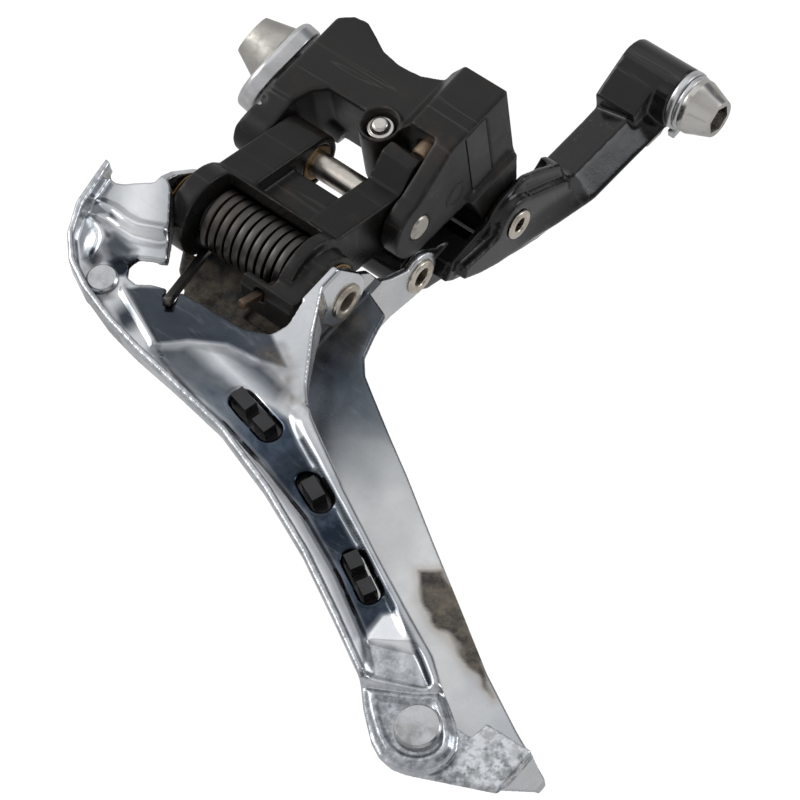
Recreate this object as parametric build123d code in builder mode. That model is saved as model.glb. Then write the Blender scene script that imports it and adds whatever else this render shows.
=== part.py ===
from build123d import *
import math
import os

os.makedirs("parts", exist_ok=True)

# Double-ring road front derailleur with a long outer arm, braze-on clamp.
# Millimetres. +X to the rear of the bicycle, +Y outboard, +Z up.
# The origin is the centre of the clamp face that sits on the frame's tab, on
# the mounting bolt's axis. Profiles are drawn from the main pivot: the point
# where its axis meets the rear face of the bracket's rear ear.

# ---------------------------------------------------------------- dimensions
PIVOT_X, PIVOT_Y, PIVOT_Z = 32.0, -0.85, -10.6   # main pivot from the origin

# parallelogram, (Y, Z) from the main pivot, cage at rest (inner ring side)
LINK_CAGE = (-5.2, -17.4)      # spring link to cage
ARM_BODY = (13.8, 15.2)        # outer arm to bracket
ARM_CAGE = (8.6, -2.2)         # outer arm to cage

MAIN_PIN_R = 1.9
CAGE_PIN_R, CAGE_PIN_BORE = 2.1, 1.45
RIVET_FLARE_R = 2.7
FIT = 0.03                     # radial running clearance

CLAMP_ANGLE = 22.0             # bolt axis, from forward towards inboard
M5_R = 2.5
WASHER_GAP = 0.6               # left between washer and clamp face, unmounted
WASHER_T = 2.8

PLATE_T = 1.2                  # cage sheet
INNER_Y = -13.0                # inboard face of the inner cage plate
OUTER_Y = 0.0                  # chain face of the outer cage plate
RIM_H = 2.6                    # rim of the inner plate, inboard

EAR_T = 3.0                    # rear ear of the bracket
EAR_R = 5.0

SPRING_R, WIRE = 3.85, 1.25    # coil centreline radius, square wire
SPRING_X0, SPRING_X1 = -21.4, -5.9

HEX_4, HEX_5 = 4.0, 5.0        # hex sockets across flats
LIMIT_SCREW_R = 1.5
LIMIT_X = -4.7
SUPPORT = (-12.6, 7.4)         # support bolt, (X, Z)
ANCHOR = (20.9, 50.2)          # cable bolt, (Y, Z)


def across(x):
    """Plane across the bicycle at x from the main pivot: local Y, Z."""
    return Plane(origin=(PIVOT_X + x, PIVOT_Y, PIVOT_Z), x_dir=(0, 1, 0), z_dir=(1, 0, 0))


def side(y):
    """Plane along the bicycle at y from the main pivot: local X, Z, facing inboard."""
    return Plane(origin=(PIVOT_X, PIVOT_Y + y, PIVOT_Z), x_dir=(1, 0, 0), z_dir=(0, -1, 0))


def level(z):
    """Horizontal plane at z from the main pivot: local X, Y."""
    return Plane(origin=(PIVOT_X, PIVOT_Y, PIVOT_Z + z), x_dir=(1, 0, 0), z_dir=(0, 0, 1))


BOLT_OUT = Vector(-math.cos(math.radians(CLAMP_ANGLE)), -math.sin(math.radians(CLAMP_ANGLE)), 0)
CLAMP_SIDE = Vector(math.sin(math.radians(CLAMP_ANGLE)), -math.cos(math.radians(CLAMP_ANGLE)), 0)


def clamp(d):
    """Plane square to the mounting bolt, d out from the clamp face: local sideways, Z."""
    return Plane(origin=BOLT_OUT * d, x_dir=-CLAMP_SIDE, z_dir=BOLT_OUT)


# ------------------------------------------------------------------- bracket
with BuildPart() as bracket_body:
    # long slab from the clamp to the adjuster box
    with BuildSketch(side(-5.5)):
        with BuildLine():
            Polyline((-36, 3.6), (-36, 16.8), (-30.0, 18.0), (-27.6, 19.9), (-25.4, 20.2),
                     (-23.0, 19.0), (-20.4, 17.6), (-17.0, 17.0), (-13.5, 17.3), (-10.5, 18.6),
                     (-7.5, 20.3), (0, 20.3), (0, 8.3), (-16.4, 8.1), (-22.6, 8.1),
                     (-24.2, 6.6), (-25.3, 3.6), close=True)
        make_face()
    extrude(amount=-11.0)
    # box that carries the limit screws, standing proud inboard
    with BuildSketch(level(8.3)):
        with BuildLine():
            Polyline((-10.2, -5.4), (-7.4, -9.2), (0, -9.2), (0, -5.4), close=True)
        make_face()
    extrude(amount=12.0)
    # front leg with the front pivot boss
    with BuildSketch(across(-30.6)):
        Circle(4.3)
        with BuildLine():
            Polyline((-4.3, 0), (-5.5, 5.5), (5.5, 5.5), (4.3, 0), close=True)
        make_face()
    extrude(amount=5.2)
    # rear ear around the main pivot
    with BuildSketch(across(-EAR_T)):
        Circle(EAR_R)
        with BuildLine():
            Polyline((-5.0, 0.2), (-9.2, 8.4), (5.5, 8.4), (4.95, 0.8), close=True)
        make_face()
    extrude(amount=EAR_T)
    # lug that carries the arm pivot
    with BuildSketch(across(-8.4)):
        with Locations(ARM_BODY):
            Circle(4.1)
        with BuildLine():
            Polyline((4.5, 9.4), (11.6, 11.7), (12.6, 19.1), (4.5, 20.0), close=True)
        make_face()
    extrude(amount=9.3)
    # boss of the support bolt
    with BuildSketch(side(-6.1)):
        with Locations(SUPPORT):
            Circle(3.1)
    extrude(amount=-11.4)
    # blind boss around the mounting thread
    with BuildSketch(clamp(-0.5)):
        Circle(3.7)
    extrude(amount=-11.0)
    # curved clamp face for the frame tab
    with BuildSketch(Plane(origin=(0, 0, 30), x_dir=BOLT_OUT, z_dir=(0, 0, 1))):
        with Locations((6.0, 0)):
            Rectangle(12.0, 40.0)
    extrude(amount=-60, mode=Mode.SUBTRACT)
    with BuildSketch(clamp(-0.01)):
        with Locations((0, 9.2)):
            Rectangle(30, 1.4)
    extrude(amount=-0.8, mode=Mode.SUBTRACT)
    # mounting thread, pivot bores, support bolt bore
    with BuildSketch(clamp(0.0)):
        Circle(M5_R)
    extrude(amount=-10.2, mode=Mode.SUBTRACT)
    with BuildSketch(across(-28.65)):
        Circle(MAIN_PIN_R)
    extrude(amount=29.65, mode=Mode.SUBTRACT)
    with BuildSketch(across(-9.0)):
        with Locations(ARM_BODY):
            Circle(2.0 + FIT)
    extrude(amount=11.0, mode=Mode.SUBTRACT)
    with BuildSketch(side(-7.0)):
        with Locations(SUPPORT):
            Circle(2.0)
    extrude(amount=-15.0, mode=Mode.SUBTRACT)
    with BuildSketch(side(-6.2)):
        with Locations(SUPPORT):
            Circle(2.7)
    extrude(amount=-1.7, taper=14, mode=Mode.SUBTRACT)
    # slot of the lock insert and the two screw passages
    with BuildSketch(side(-8.2)):
        with Locations((-3.2, 13.3)):
            Rectangle(6.4, 4.3)
    extrude(amount=-12.4, mode=Mode.SUBTRACT)
    with BuildSketch(level(8.0)):
        with Locations((LIMIT_X, -5.3), (LIMIT_X, 1.3)):
            Circle(LIMIT_SCREW_R + 0.05)
    extrude(amount=13.0, mode=Mode.SUBTRACT)
    with BuildSketch(level(17.6)):
        with Locations((LIMIT_X, -5.3), (LIMIT_X, 1.3)):
            Circle(2.75)
    extrude(amount=4.0, mode=Mode.SUBTRACT)
bracket_body.part.label = "bracket_body"
export_step(bracket_body.part, "parts/bracket_body.step")

# ------------------------------------------------------------ frame fastening
with BuildPart() as radius_washer:
    with BuildSketch(clamp(WASHER_GAP)):
        with Locations((0, 1.2)):
            RectangleRounded(11.4, 15.2, 5.2)
    extrude(amount=WASHER_T)
    chamfer(radius_washer.faces().sort_by(Axis(origin=(0, 0, 0), direction=BOLT_OUT))[-1].edges(), length=0.6)
    with BuildSketch(clamp(0)):
        Circle(M5_R + 0.15)
    extrude(amount=8, mode=Mode.SUBTRACT)
radius_washer.part.label = "radius_washer"
export_step(radius_washer.part, "parts/radius_washer.step")

HEAD_0 = WASHER_GAP + WASHER_T
with BuildPart() as mount_bolt:
    with BuildSketch(clamp(-9.5)):
        Circle(M5_R - 0.04)
    extrude(amount=9.5 + HEAD_0 + 0.5)
    with BuildSketch(clamp(HEAD_0 + 0.02)):
        Circle(4.85)
    with BuildSketch(clamp(HEAD_0 + 4.5)):
        Circle(3.1)
    loft()
    with BuildSketch(clamp(HEAD_0 + 4.6)):
        RegularPolygon(radius=HEX_5 / 2, side_count=6, major_radius=False)
    extrude(amount=-3.2, mode=Mode.SUBTRACT)
mount_bolt.part.label = "mount_bolt"
export_step(mount_bolt.part, "parts/mount_bolt.step")

# --------------------------------------------------------- bracket's adjusters
with BuildPart() as support_bolt:
    with BuildSketch(side(-5.0)):
        with Locations(SUPPORT):
            Circle(1.95)
    extrude(amount=-10.6)
    with BuildSketch(side(-4.95)):
        with Locations(SUPPORT):
            Circle(1.35)
    extrude(amount=1.0)
    fillet(support_bolt.faces().sort_by(Axis.Y)[0].edges(), radius=0.7)
    with BuildSketch(side(5.7)):
        with Locations(SUPPORT):
            RegularPolygon(radius=1.0, side_count=6, major_radius=False)
    extrude(amount=2.6, mode=Mode.SUBTRACT)
support_bolt.part.label = "support_bolt"
export_step(support_bolt.part, "parts/support_bolt.step")

with BuildPart() as screw_lock_insert:
    with BuildSketch(side(-8.15)):
        with Locations((-3.2, 13.3)):
            Rectangle(6.3, 4.2)
    extrude(amount=-12.3)
    with BuildSketch(level(10.5)):
        with Locations((LIMIT_X, -5.3), (LIMIT_X, 1.3)):
            Circle(LIMIT_SCREW_R + 0.03)
    extrude(amount=6, mode=Mode.SUBTRACT)
screw_lock_insert.part.label = "screw_lock_insert"
export_step(screw_lock_insert.part, "parts/screw_lock_insert.step")


def limit_screw(y, tip_z):
    """M3 adjusting screw with a cross-slot head, tip down."""
    with BuildPart() as screw:
        with BuildSketch(level(tip_z)):
            with Locations((LIMIT_X, y)):
                Circle(LIMIT_SCREW_R)
        extrude(amount=18.0 - tip_z)
        with BuildSketch(level(17.75)):
            with Locations((LIMIT_X, y)):
                Circle(2.6)
        extrude(amount=2.1)
        chamfer(screw.faces().sort_by(Axis.Z)[-1].edges(), length=0.35)
        with BuildSketch(level(20.0)):
            with Locations((LIMIT_X, y)):
                Rectangle(3.4, 0.7)
                Rectangle(0.7, 3.4)
        extrude(amount=-1.3, mode=Mode.SUBTRACT)
        chamfer(screw.faces().sort_by(Axis.Z)[0].edges(), length=0.3)
    return screw


low = limit_screw(-5.3, 6.35)
low.part.label = "low_limit_screw"
export_step(low.part, "parts/low_limit_screw.step")
high = limit_screw(1.3, 7.2)
high.part.label = "high_limit_screw"
export_step(high.part, "parts/high_limit_screw.step")

# ---------------------------------------------------------------- pivot pins
with BuildPart() as main_pivot_pin:
    with BuildSketch(across(-28.6)):
        Circle(MAIN_PIN_R)
    extrude(amount=28.75)
    chamfer(main_pivot_pin.edges().filter_by(GeomType.CIRCLE), length=0.25)
main_pivot_pin.part.label = "main_pivot_pin"
export_step(main_pivot_pin.part, "parts/main_pivot_pin.step")


def hollow_pin(at, x0, x1, r, bore, flare_r, flare_t):
    """Tubular rivet along X with a flared rim at each end."""
    with BuildPart() as pin:
        with BuildSketch(across(x0)):
            with Locations(at):
                Circle(r)
        extrude(amount=x1 - x0)
        with BuildSketch(across(x1)):
            with Locations(at):
                Circle(flare_r)
        extrude(amount=flare_t)
        with BuildSketch(across(x0)):
            with Locations(at):
                Circle(flare_r)
        extrude(amount=-flare_t)
        with BuildSketch(across(x0 - 2)):
            with Locations(at):
                Circle(bore)
        extrude(amount=x1 - x0 + 4, mode=Mode.SUBTRACT)
        ends = pin.faces().filter_by(GeomType.PLANE).sort_by(Axis.X)
        chamfer(ends[0].edges() + ends[-1].edges(), length=min(0.22, flare_t * 0.45))
    return pin


CAGE_REAR_0 = -0.4                       # front face of the outer plate's rear flange
CAGE_REAR_1 = CAGE_REAR_0 + PLATE_T      # its rear face, and the inner plate's ear
FRONT_EAR_X = -26.3                      # rear face of the cage's front ear

cage_pin = hollow_pin(LINK_CAGE, FRONT_EAR_X - PLATE_T, CAGE_REAR_1 + PLATE_T, CAGE_PIN_R, CAGE_PIN_BORE, RIVET_FLARE_R, 0.5)
cage_pin.part.label = "cage_pivot_pin"
export_step(cage_pin.part, "parts/cage_pivot_pin.step")

arm_cage = hollow_pin(ARM_CAGE, -14.2, CAGE_REAR_1, 2.0, 1.4, RIVET_FLARE_R, 0.5)
arm_cage.part.label = "arm_cage_pin"
export_step(arm_cage.part, "parts/arm_cage_pin.step")

arm_body = hollow_pin(ARM_BODY, -12.4, 4.0, 2.0, 1.1, 2.35, 0.45)
arm_body.part.label = "arm_pivot_pin"
export_step(arm_body.part, "parts/arm_pivot_pin.step")

# --------------------------------------------------------------- spring link
COIL_X0, COIL_X1 = SPRING_X0 - 0.4, SPRING_X1 + 0.4      # room for the coil
COIL_CLEAR = SPRING_R + WIRE / 2 + 0.35
PY4, PZ4 = LINK_CAGE
with BuildPart() as spring_link:
    # front arm, from the front knuckle down to the spring boss
    with BuildSketch(across(-25.1)):
        Circle(4.2)
        with Locations(LINK_CAGE):
            Circle(4.9)
        make_hull()
    extrude(amount=6.6)
    # rear arm
    with BuildSketch(across(-9.0)):
        Circle(4.2)
        with Locations(LINK_CAGE):
            Circle(5.1)
        make_hull()
    extrude(amount=5.6)
    # web between the arms, wrapping over the outboard side of the coil
    with BuildSketch(across(-25.1)):
        with Locations(LINK_CAGE):
            Circle(6.5)
        with BuildLine():
            Polyline((-6.2, -12.6), (-3.6, -4.3), (1.4, -4.3), (0.8, -13.6), close=True)
        make_face()
    extrude(amount=21.7)
    # room for the coil, open to the inboard side and below
    with BuildSketch(across(COIL_X0)):
        with Locations(LINK_CAGE):
            Circle(COIL_CLEAR)
        with BuildLine():
            Polyline((PY4 - 2.6, PZ4 + 4.0), (PY4 - 12, PZ4 + 8.0), (PY4 - 12, PZ4 - 12), (PY4 + 7.0, PZ4 - 12),
                     (PY4 + 7.0, PZ4 - 0.9), (PY4 + 3.0, PZ4 - 0.9), (PY4, PZ4), close=True)
        make_face()
    extrude(amount=COIL_X1 - COIL_X0, mode=Mode.SUBTRACT)
    # window over the main pivot pin
    with BuildSketch(across(-18.5)):
        Circle(4.35)
    extrude(amount=9.5, mode=Mode.SUBTRACT)
    # spring bosses beyond the ends of the coil
    with BuildSketch(across(FRONT_EAR_X + 0.5)):
        with Locations(LINK_CAGE):
            Circle(4.9)
    extrude(amount=COIL_X0 - FRONT_EAR_X - 0.5)
    with BuildSketch(across(COIL_X1)):
        with Locations(LINK_CAGE):
            Circle(5.1)
        with BuildLine():
            Polyline((PY4 - 4.6, PZ4 - 2.0), (PY4 - 4.3, PZ4 - 6.6), (PY4 + 1.6, PZ4 - 8.0), (PY4 + 4.2, PZ4 - 2.6), close=True)
        make_face()
    extrude(amount=-0.8 - COIL_X1)
    # foot under the rear end of the coil
    with BuildSketch(across(-9.8)):
        with BuildLine():
            Polyline((PY4 - 3.9, PZ4 - 5.6), (PY4 - 4.6, PZ4 - 6.6), (PY4 - 3.4, PZ4 - 7.6), (PY4 + 1.0, PZ4 - 8.2),
                     (PY4 + 2.4, PZ4 - 6.6), (PY4 + 1.6, PZ4 - 5.3), close=True)
        make_face()
    extrude(amount=9.0)
    # stop arm under the low limit screw, stop lobe for the high one
    with BuildSketch(across(-9.0)):
        with BuildLine():
            Polyline((-2.6, -3.0), (-4.1, 0.2), (-7.0, 3.6), (-6.9, 5.5), (-6.0, 6.2), (-4.2, 6.2), (0.2, 3.0), close=True)
        make_face()
    extrude(amount=5.6)
    with BuildSketch(across(-6.8)):
        with BuildLine():
            Polyline((1.0, 3.4), (4.0, 4.8), (5.2, 3.8), (3.4, -0.6), close=True)
        make_face()
    extrude(amount=3.4)
    # bores and the slot of the spring's short leg
    with BuildSketch(across(-26)):
        Circle(MAIN_PIN_R + 0.9)
    extrude(amount=24.0, mode=Mode.SUBTRACT)
    with BuildSketch(across(-30)):
        with Locations(LINK_CAGE):
            Circle(CAGE_PIN_R + FIT)
    extrude(amount=32.0, mode=Mode.SUBTRACT)
    with BuildSketch(across(SPRING_X1 - WIRE - 0.15)):
        with Locations(Location((PY4 - 2.9, PZ4 - 7.2), -28)):
            Rectangle(1.9, 9.8)
    extrude(amount=WIRE + 0.3, mode=Mode.SUBTRACT)
spring_link.part.label = "spring_link"
export_step(spring_link.part, "parts/spring_link.step")

with BuildPart() as link_bushes:
    for x0, t in ((-25.3, 6.8), (-9.2, 5.9)):
        with BuildSketch(across(x0)):
            Circle(MAIN_PIN_R + 0.9)
            Circle(MAIN_PIN_R + FIT, mode=Mode.SUBTRACT)
        extrude(amount=t)
link_bushes.part.label = "link_bushes"
export_step(link_bushes.part, "parts/link_bushes.step")

with BuildPart() as spring_sleeve:
    with BuildSketch(across(COIL_X0 + 0.05)):
        with Locations(LINK_CAGE):
            Circle(CAGE_PIN_R + 0.75)
            Circle(CAGE_PIN_R + FIT, mode=Mode.SUBTRACT)
    extrude(amount=COIL_X1 - COIL_X0 - 0.1)
spring_sleeve.part.label = "spring_sleeve"
export_step(spring_sleeve.part, "parts/spring_sleeve.step")

# torsion spring of square wire: ten separate-looking turns as one closed coil
TURNS = 10
PITCH = (SPRING_X1 - SPRING_X0 - WIRE) / TURNS
# the spring's long leg runs slantwise from the coil's front end and hooks over the inner plate's edge
LEG_PLANE = Plane(origin=(PIVOT_X + SPRING_X0 + WIRE / 2, PIVOT_Y + LINK_CAGE[0] + SPRING_R, PIVOT_Z + LINK_CAGE[1] - 2.8),
                  z_dir=(8.2, -12.85, -15.0))
LEG_L = 21.9

with BuildPart() as return_spring:
    with BuildSketch(across(SPRING_X0)):
        with Locations(LINK_CAGE):
            Circle(SPRING_R + WIRE / 2)
            Circle(SPRING_R - WIRE / 2, mode=Mode.SUBTRACT)
    extrude(amount=SPRING_X1 - SPRING_X0)
    for n in range(TURNS):
        with BuildSketch(across(SPRING_X0 + WIRE + n * PITCH)):
            with Locations(LINK_CAGE):
                Circle(SPRING_R + WIRE / 2 + 0.1)
                Circle(SPRING_R - 0.2, mode=Mode.SUBTRACT)
        extrude(amount=PITCH - WIRE, mode=Mode.SUBTRACT)
    # long leg down to the cage, short leg under the link's foot
    with BuildSketch(across(SPRING_X0)):
        with Locations((LINK_CAGE[0] + SPRING_R, LINK_CAGE[1] - 1.7)):
            Rectangle(WIRE, 3.4)
    extrude(amount=WIRE)
    with BuildSketch(LEG_PLANE):
        Rectangle(WIRE, WIRE)
    extrude(amount=LEG_L)
    with BuildSketch(across(SPRING_X1 - WIRE)):
        with Locations(Location((PY4 - 2.9, PZ4 - 7.2), -28)):
            Rectangle(WIRE, 8.4)
    extrude(amount=WIRE)
return_spring.part.label = "return_spring"
export_step(return_spring.part, "parts/return_spring.step")

# ----------------------------------------------------------------- outer arm
with BuildPart() as outer_arm:
    # lower lever between the two pivots, both cheeks
    with BuildSketch(across(-12.4)):
        with Locations(ARM_CAGE):
            Circle(3.3)
        with Locations(ARM_BODY):
            Circle(4.2)
        with BuildLine():
            Polyline((6.3, -4.6), (5.6, -0.6), (9.6, 3.4), (11.2, 7.6), (9.7, 13.8),
                     (17.6, 17.0), (20.4, 14.6), (19.6, 7.4), (16.4, 0.2), (12.2, -3.8), close=True)
        make_face()
    extrude(amount=11.7)
    # rear cheek, stepping inboard beside the pivot, with the raised band on its rear face
    with BuildSketch(across(-0.8)):
        with Locations(ARM_BODY):
            Circle(5.2)
        with BuildLine():
            Polyline((10.6, 3.0), (10.4, 11.6), (8.6, 14.4), (8.8, 19.6), (11.6, 23.6), (14.6, 27.2),
                     (20.4, 28.6), (23.9, 24.4), (22.2, 18.6), (20.9, 15.6), (18.6, 10.0), (16.6, 6.3), (14.2, 2.4), (12.6, 0.9), close=True)
        make_face()
    extrude(amount=3.2)
    with BuildSketch(across(2.4)):
        with Locations(ARM_BODY):
            Circle(4.4)
        with BuildLine():
            Polyline((11.4, 3.9), (12.2, 8.4), (12.4, 12.0), (11.0, 15.0), (11.2, 18.8), (13.8, 22.8),
                     (16.6, 26.6), (20.4, 27.4), (23.9, 24.4), (22.2, 18.6), (20.5, 15.0), (17.8, 9.9), (15.7, 6.3), (13.3, 3.1), close=True)
        make_face()
    extrude(amount=1.6)
    # upper lever: an angled bar with its ridge inboard, blended into the cheek
    with BuildSketch(Plane(origin=(PIVOT_X, PIVOT_Y + 15.4, PIVOT_Z + 14.0), x_dir=(1, 0, 0), z_dir=(0, 0, 1))):
        with BuildLine():
            Polyline((3.9, -3.4), (4.0, 3.6), (2.6, 5.0), (-0.8, 5.0), (-0.8, -3.4), close=True)
        make_face()
    with BuildSketch(Plane(origin=(PIVOT_X, PIVOT_Y + 17.6, PIVOT_Z + 22.0), x_dir=(1, 0, 0), z_dir=(0, 0, 1))):
        with BuildLine():
            Polyline((3.5, -2.2), (5.2, 3.4), (3.8, 5.4), (-1.6, 5.4), (-1.8, -0.8), close=True)
        make_face()
    with BuildSketch(Plane(origin=(PIVOT_X, PIVOT_Y + 19.0, PIVOT_Z + 29.5), x_dir=(1, 0, 0), z_dir=(0, 0, 1))):
        with BuildLine():
            Polyline((2.5, 0), (6.1, 3.6), (4.6, 5.8), (-3.2, 5.8), (-3.6, 2.0), close=True)
        make_face()
    with BuildSketch(Plane(origin=(PIVOT_X, PIVOT_Y + 20.8, PIVOT_Z + 52.0), x_dir=(1, 0, 0), z_dir=(0, 0, 1))):
        with BuildLine():
            Polyline((2.5, 0), (6.1, 3.6), (4.6, 5.2), (-3.2, 5.2), (-3.6, 1.6), close=True)
        make_face()
    loft(ruled=True)
    # cable anchor boss, closed at its front
    with BuildSketch(across(-3.6)):
        with Locations(ANCHOR):
            Circle(4.7)
    extrude(amount=10.0)
    with BuildSketch(across(-3.6)):
        with BuildLine():
            Polyline((ANCHOR[0] - 4.6, ANCHOR[1] - 1.0), (ANCHOR[0] - 2.0, ANCHOR[1] - 8.0), (ANCHOR[0] + 4.0, ANCHOR[1] - 8.0),
                     (ANCHOR[0] + 5.6, ANCHOR[1] + 1.6), (ANCHOR[0] + 3.0, ANCHOR[1] + 3.6), close=True)
        make_face()
    extrude(amount=7.2)
    # fork slot for the bracket's lug
    with BuildSketch(across(-8.7)):
        with Locations(ARM_BODY):
            Circle(4.6)
        with BuildLine():
            Polyline((14.6, 9.0), (4.0, 4.0), (-4.0, 12.0), (2.0, 26.0), (14.0, 26.0), (17.0, 20.0), close=True)
        make_face()
    extrude(amount=9.9, mode=Mode.SUBTRACT)
    # bores
    with BuildSketch(across(-14)):
        with Locations(ARM_BODY):
            Circle(2.0)
        with Locations(ARM_CAGE):
            Circle(2.0 + FIT)
    extrude(amount=20, mode=Mode.SUBTRACT)
    with BuildSketch(across(-2.2)):
        with Locations(ANCHOR):
            Circle(M5_R)
    extrude(amount=14, mode=Mode.SUBTRACT)
outer_arm.part.label = "outer_arm"
export_step(outer_arm.part, "parts/outer_arm.step")

# cable anchor hardware
with BuildPart() as cable_clamp_plate:
    with BuildSketch(across(6.4)):
        with Locations(ANCHOR):
            Circle(4.7)
            Circle(M5_R + 0.1, mode=Mode.SUBTRACT)
    extrude(amount=1.1)
    with BuildSketch(across(6.4)):       # lip that locates it on the arm
        with Locations((ANCHOR[0] + 4.1, ANCHOR[1] - 2.6)):
            Rectangle(1.4, 2.8)
    extrude(amount=1.1)
cable_clamp_plate.part.label = "cable_clamp_plate"
export_step(cable_clamp_plate.part, "parts/cable_clamp_plate.step")

with BuildPart() as cable_bolt_washer:
    with BuildSketch(across(7.5)):
        with Locations(ANCHOR):
            Circle(4.4)
            Circle(M5_R + 0.1, mode=Mode.SUBTRACT)
    extrude(amount=0.9)
cable_bolt_washer.part.label = "cable_bolt_washer"
export_step(cable_bolt_washer.part, "parts/cable_bolt_washer.step")

with BuildPart() as cable_bolt:
    with BuildSketch(across(-1.8)):
        with Locations(ANCHOR):
            Circle(M5_R - 0.04)
    extrude(amount=11.0)
    with BuildSketch(across(8.4)):
        with Locations(ANCHOR):
            Circle(4.3)
    extrude(amount=0.9)
    with BuildSketch(across(9.29)):
        with Locations(ANCHOR):
            Circle(4.3)
    with BuildSketch(across(12.9)):
        with Locations(ANCHOR):
            Circle(2.95)
    loft()
    with BuildSketch(across(13.0)):
        with Locations(ANCHOR):
            RegularPolygon(radius=HEX_4 / 2, side_count=6, major_radius=False)
    extrude(amount=-3.0, mode=Mode.SUBTRACT)
cable_bolt.part.label = "cable_bolt"
export_step(cable_bolt.part, "parts/cable_bolt.step")

with BuildPart() as cable_converter:
    with BuildSketch(across(1.4)):
        with BuildLine():
            Polyline((26.2, 43.0), (27.6, 43.8), (28.0, 47.0), (27.2, 48.6), (26.64, 48.2), close=True)
        make_face()
    extrude(amount=3.0)
cable_converter.part.label = "cable_converter"
export_step(cable_converter.part, "parts/cable_converter.step")

# ------------------------------------------------------------ thrust washers
with BuildPart() as cage_thrust_washers:
    with BuildSketch(across(-0.75)):
        with Locations(LINK_CAGE):
            Circle(4.2)
            Circle(CAGE_PIN_R + FIT, mode=Mode.SUBTRACT)
    extrude(amount=0.3)
    with BuildSketch(across(FRONT_EAR_X + 0.05)):
        with Locations(LINK_CAGE):
            Circle(4.2)
            Circle(CAGE_PIN_R + FIT, mode=Mode.SUBTRACT)
    extrude(amount=0.3)
cage_thrust_washers.part.label = "cage_thrust_washers"
export_step(cage_thrust_washers.part, "parts/cage_thrust_washers.step")

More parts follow.
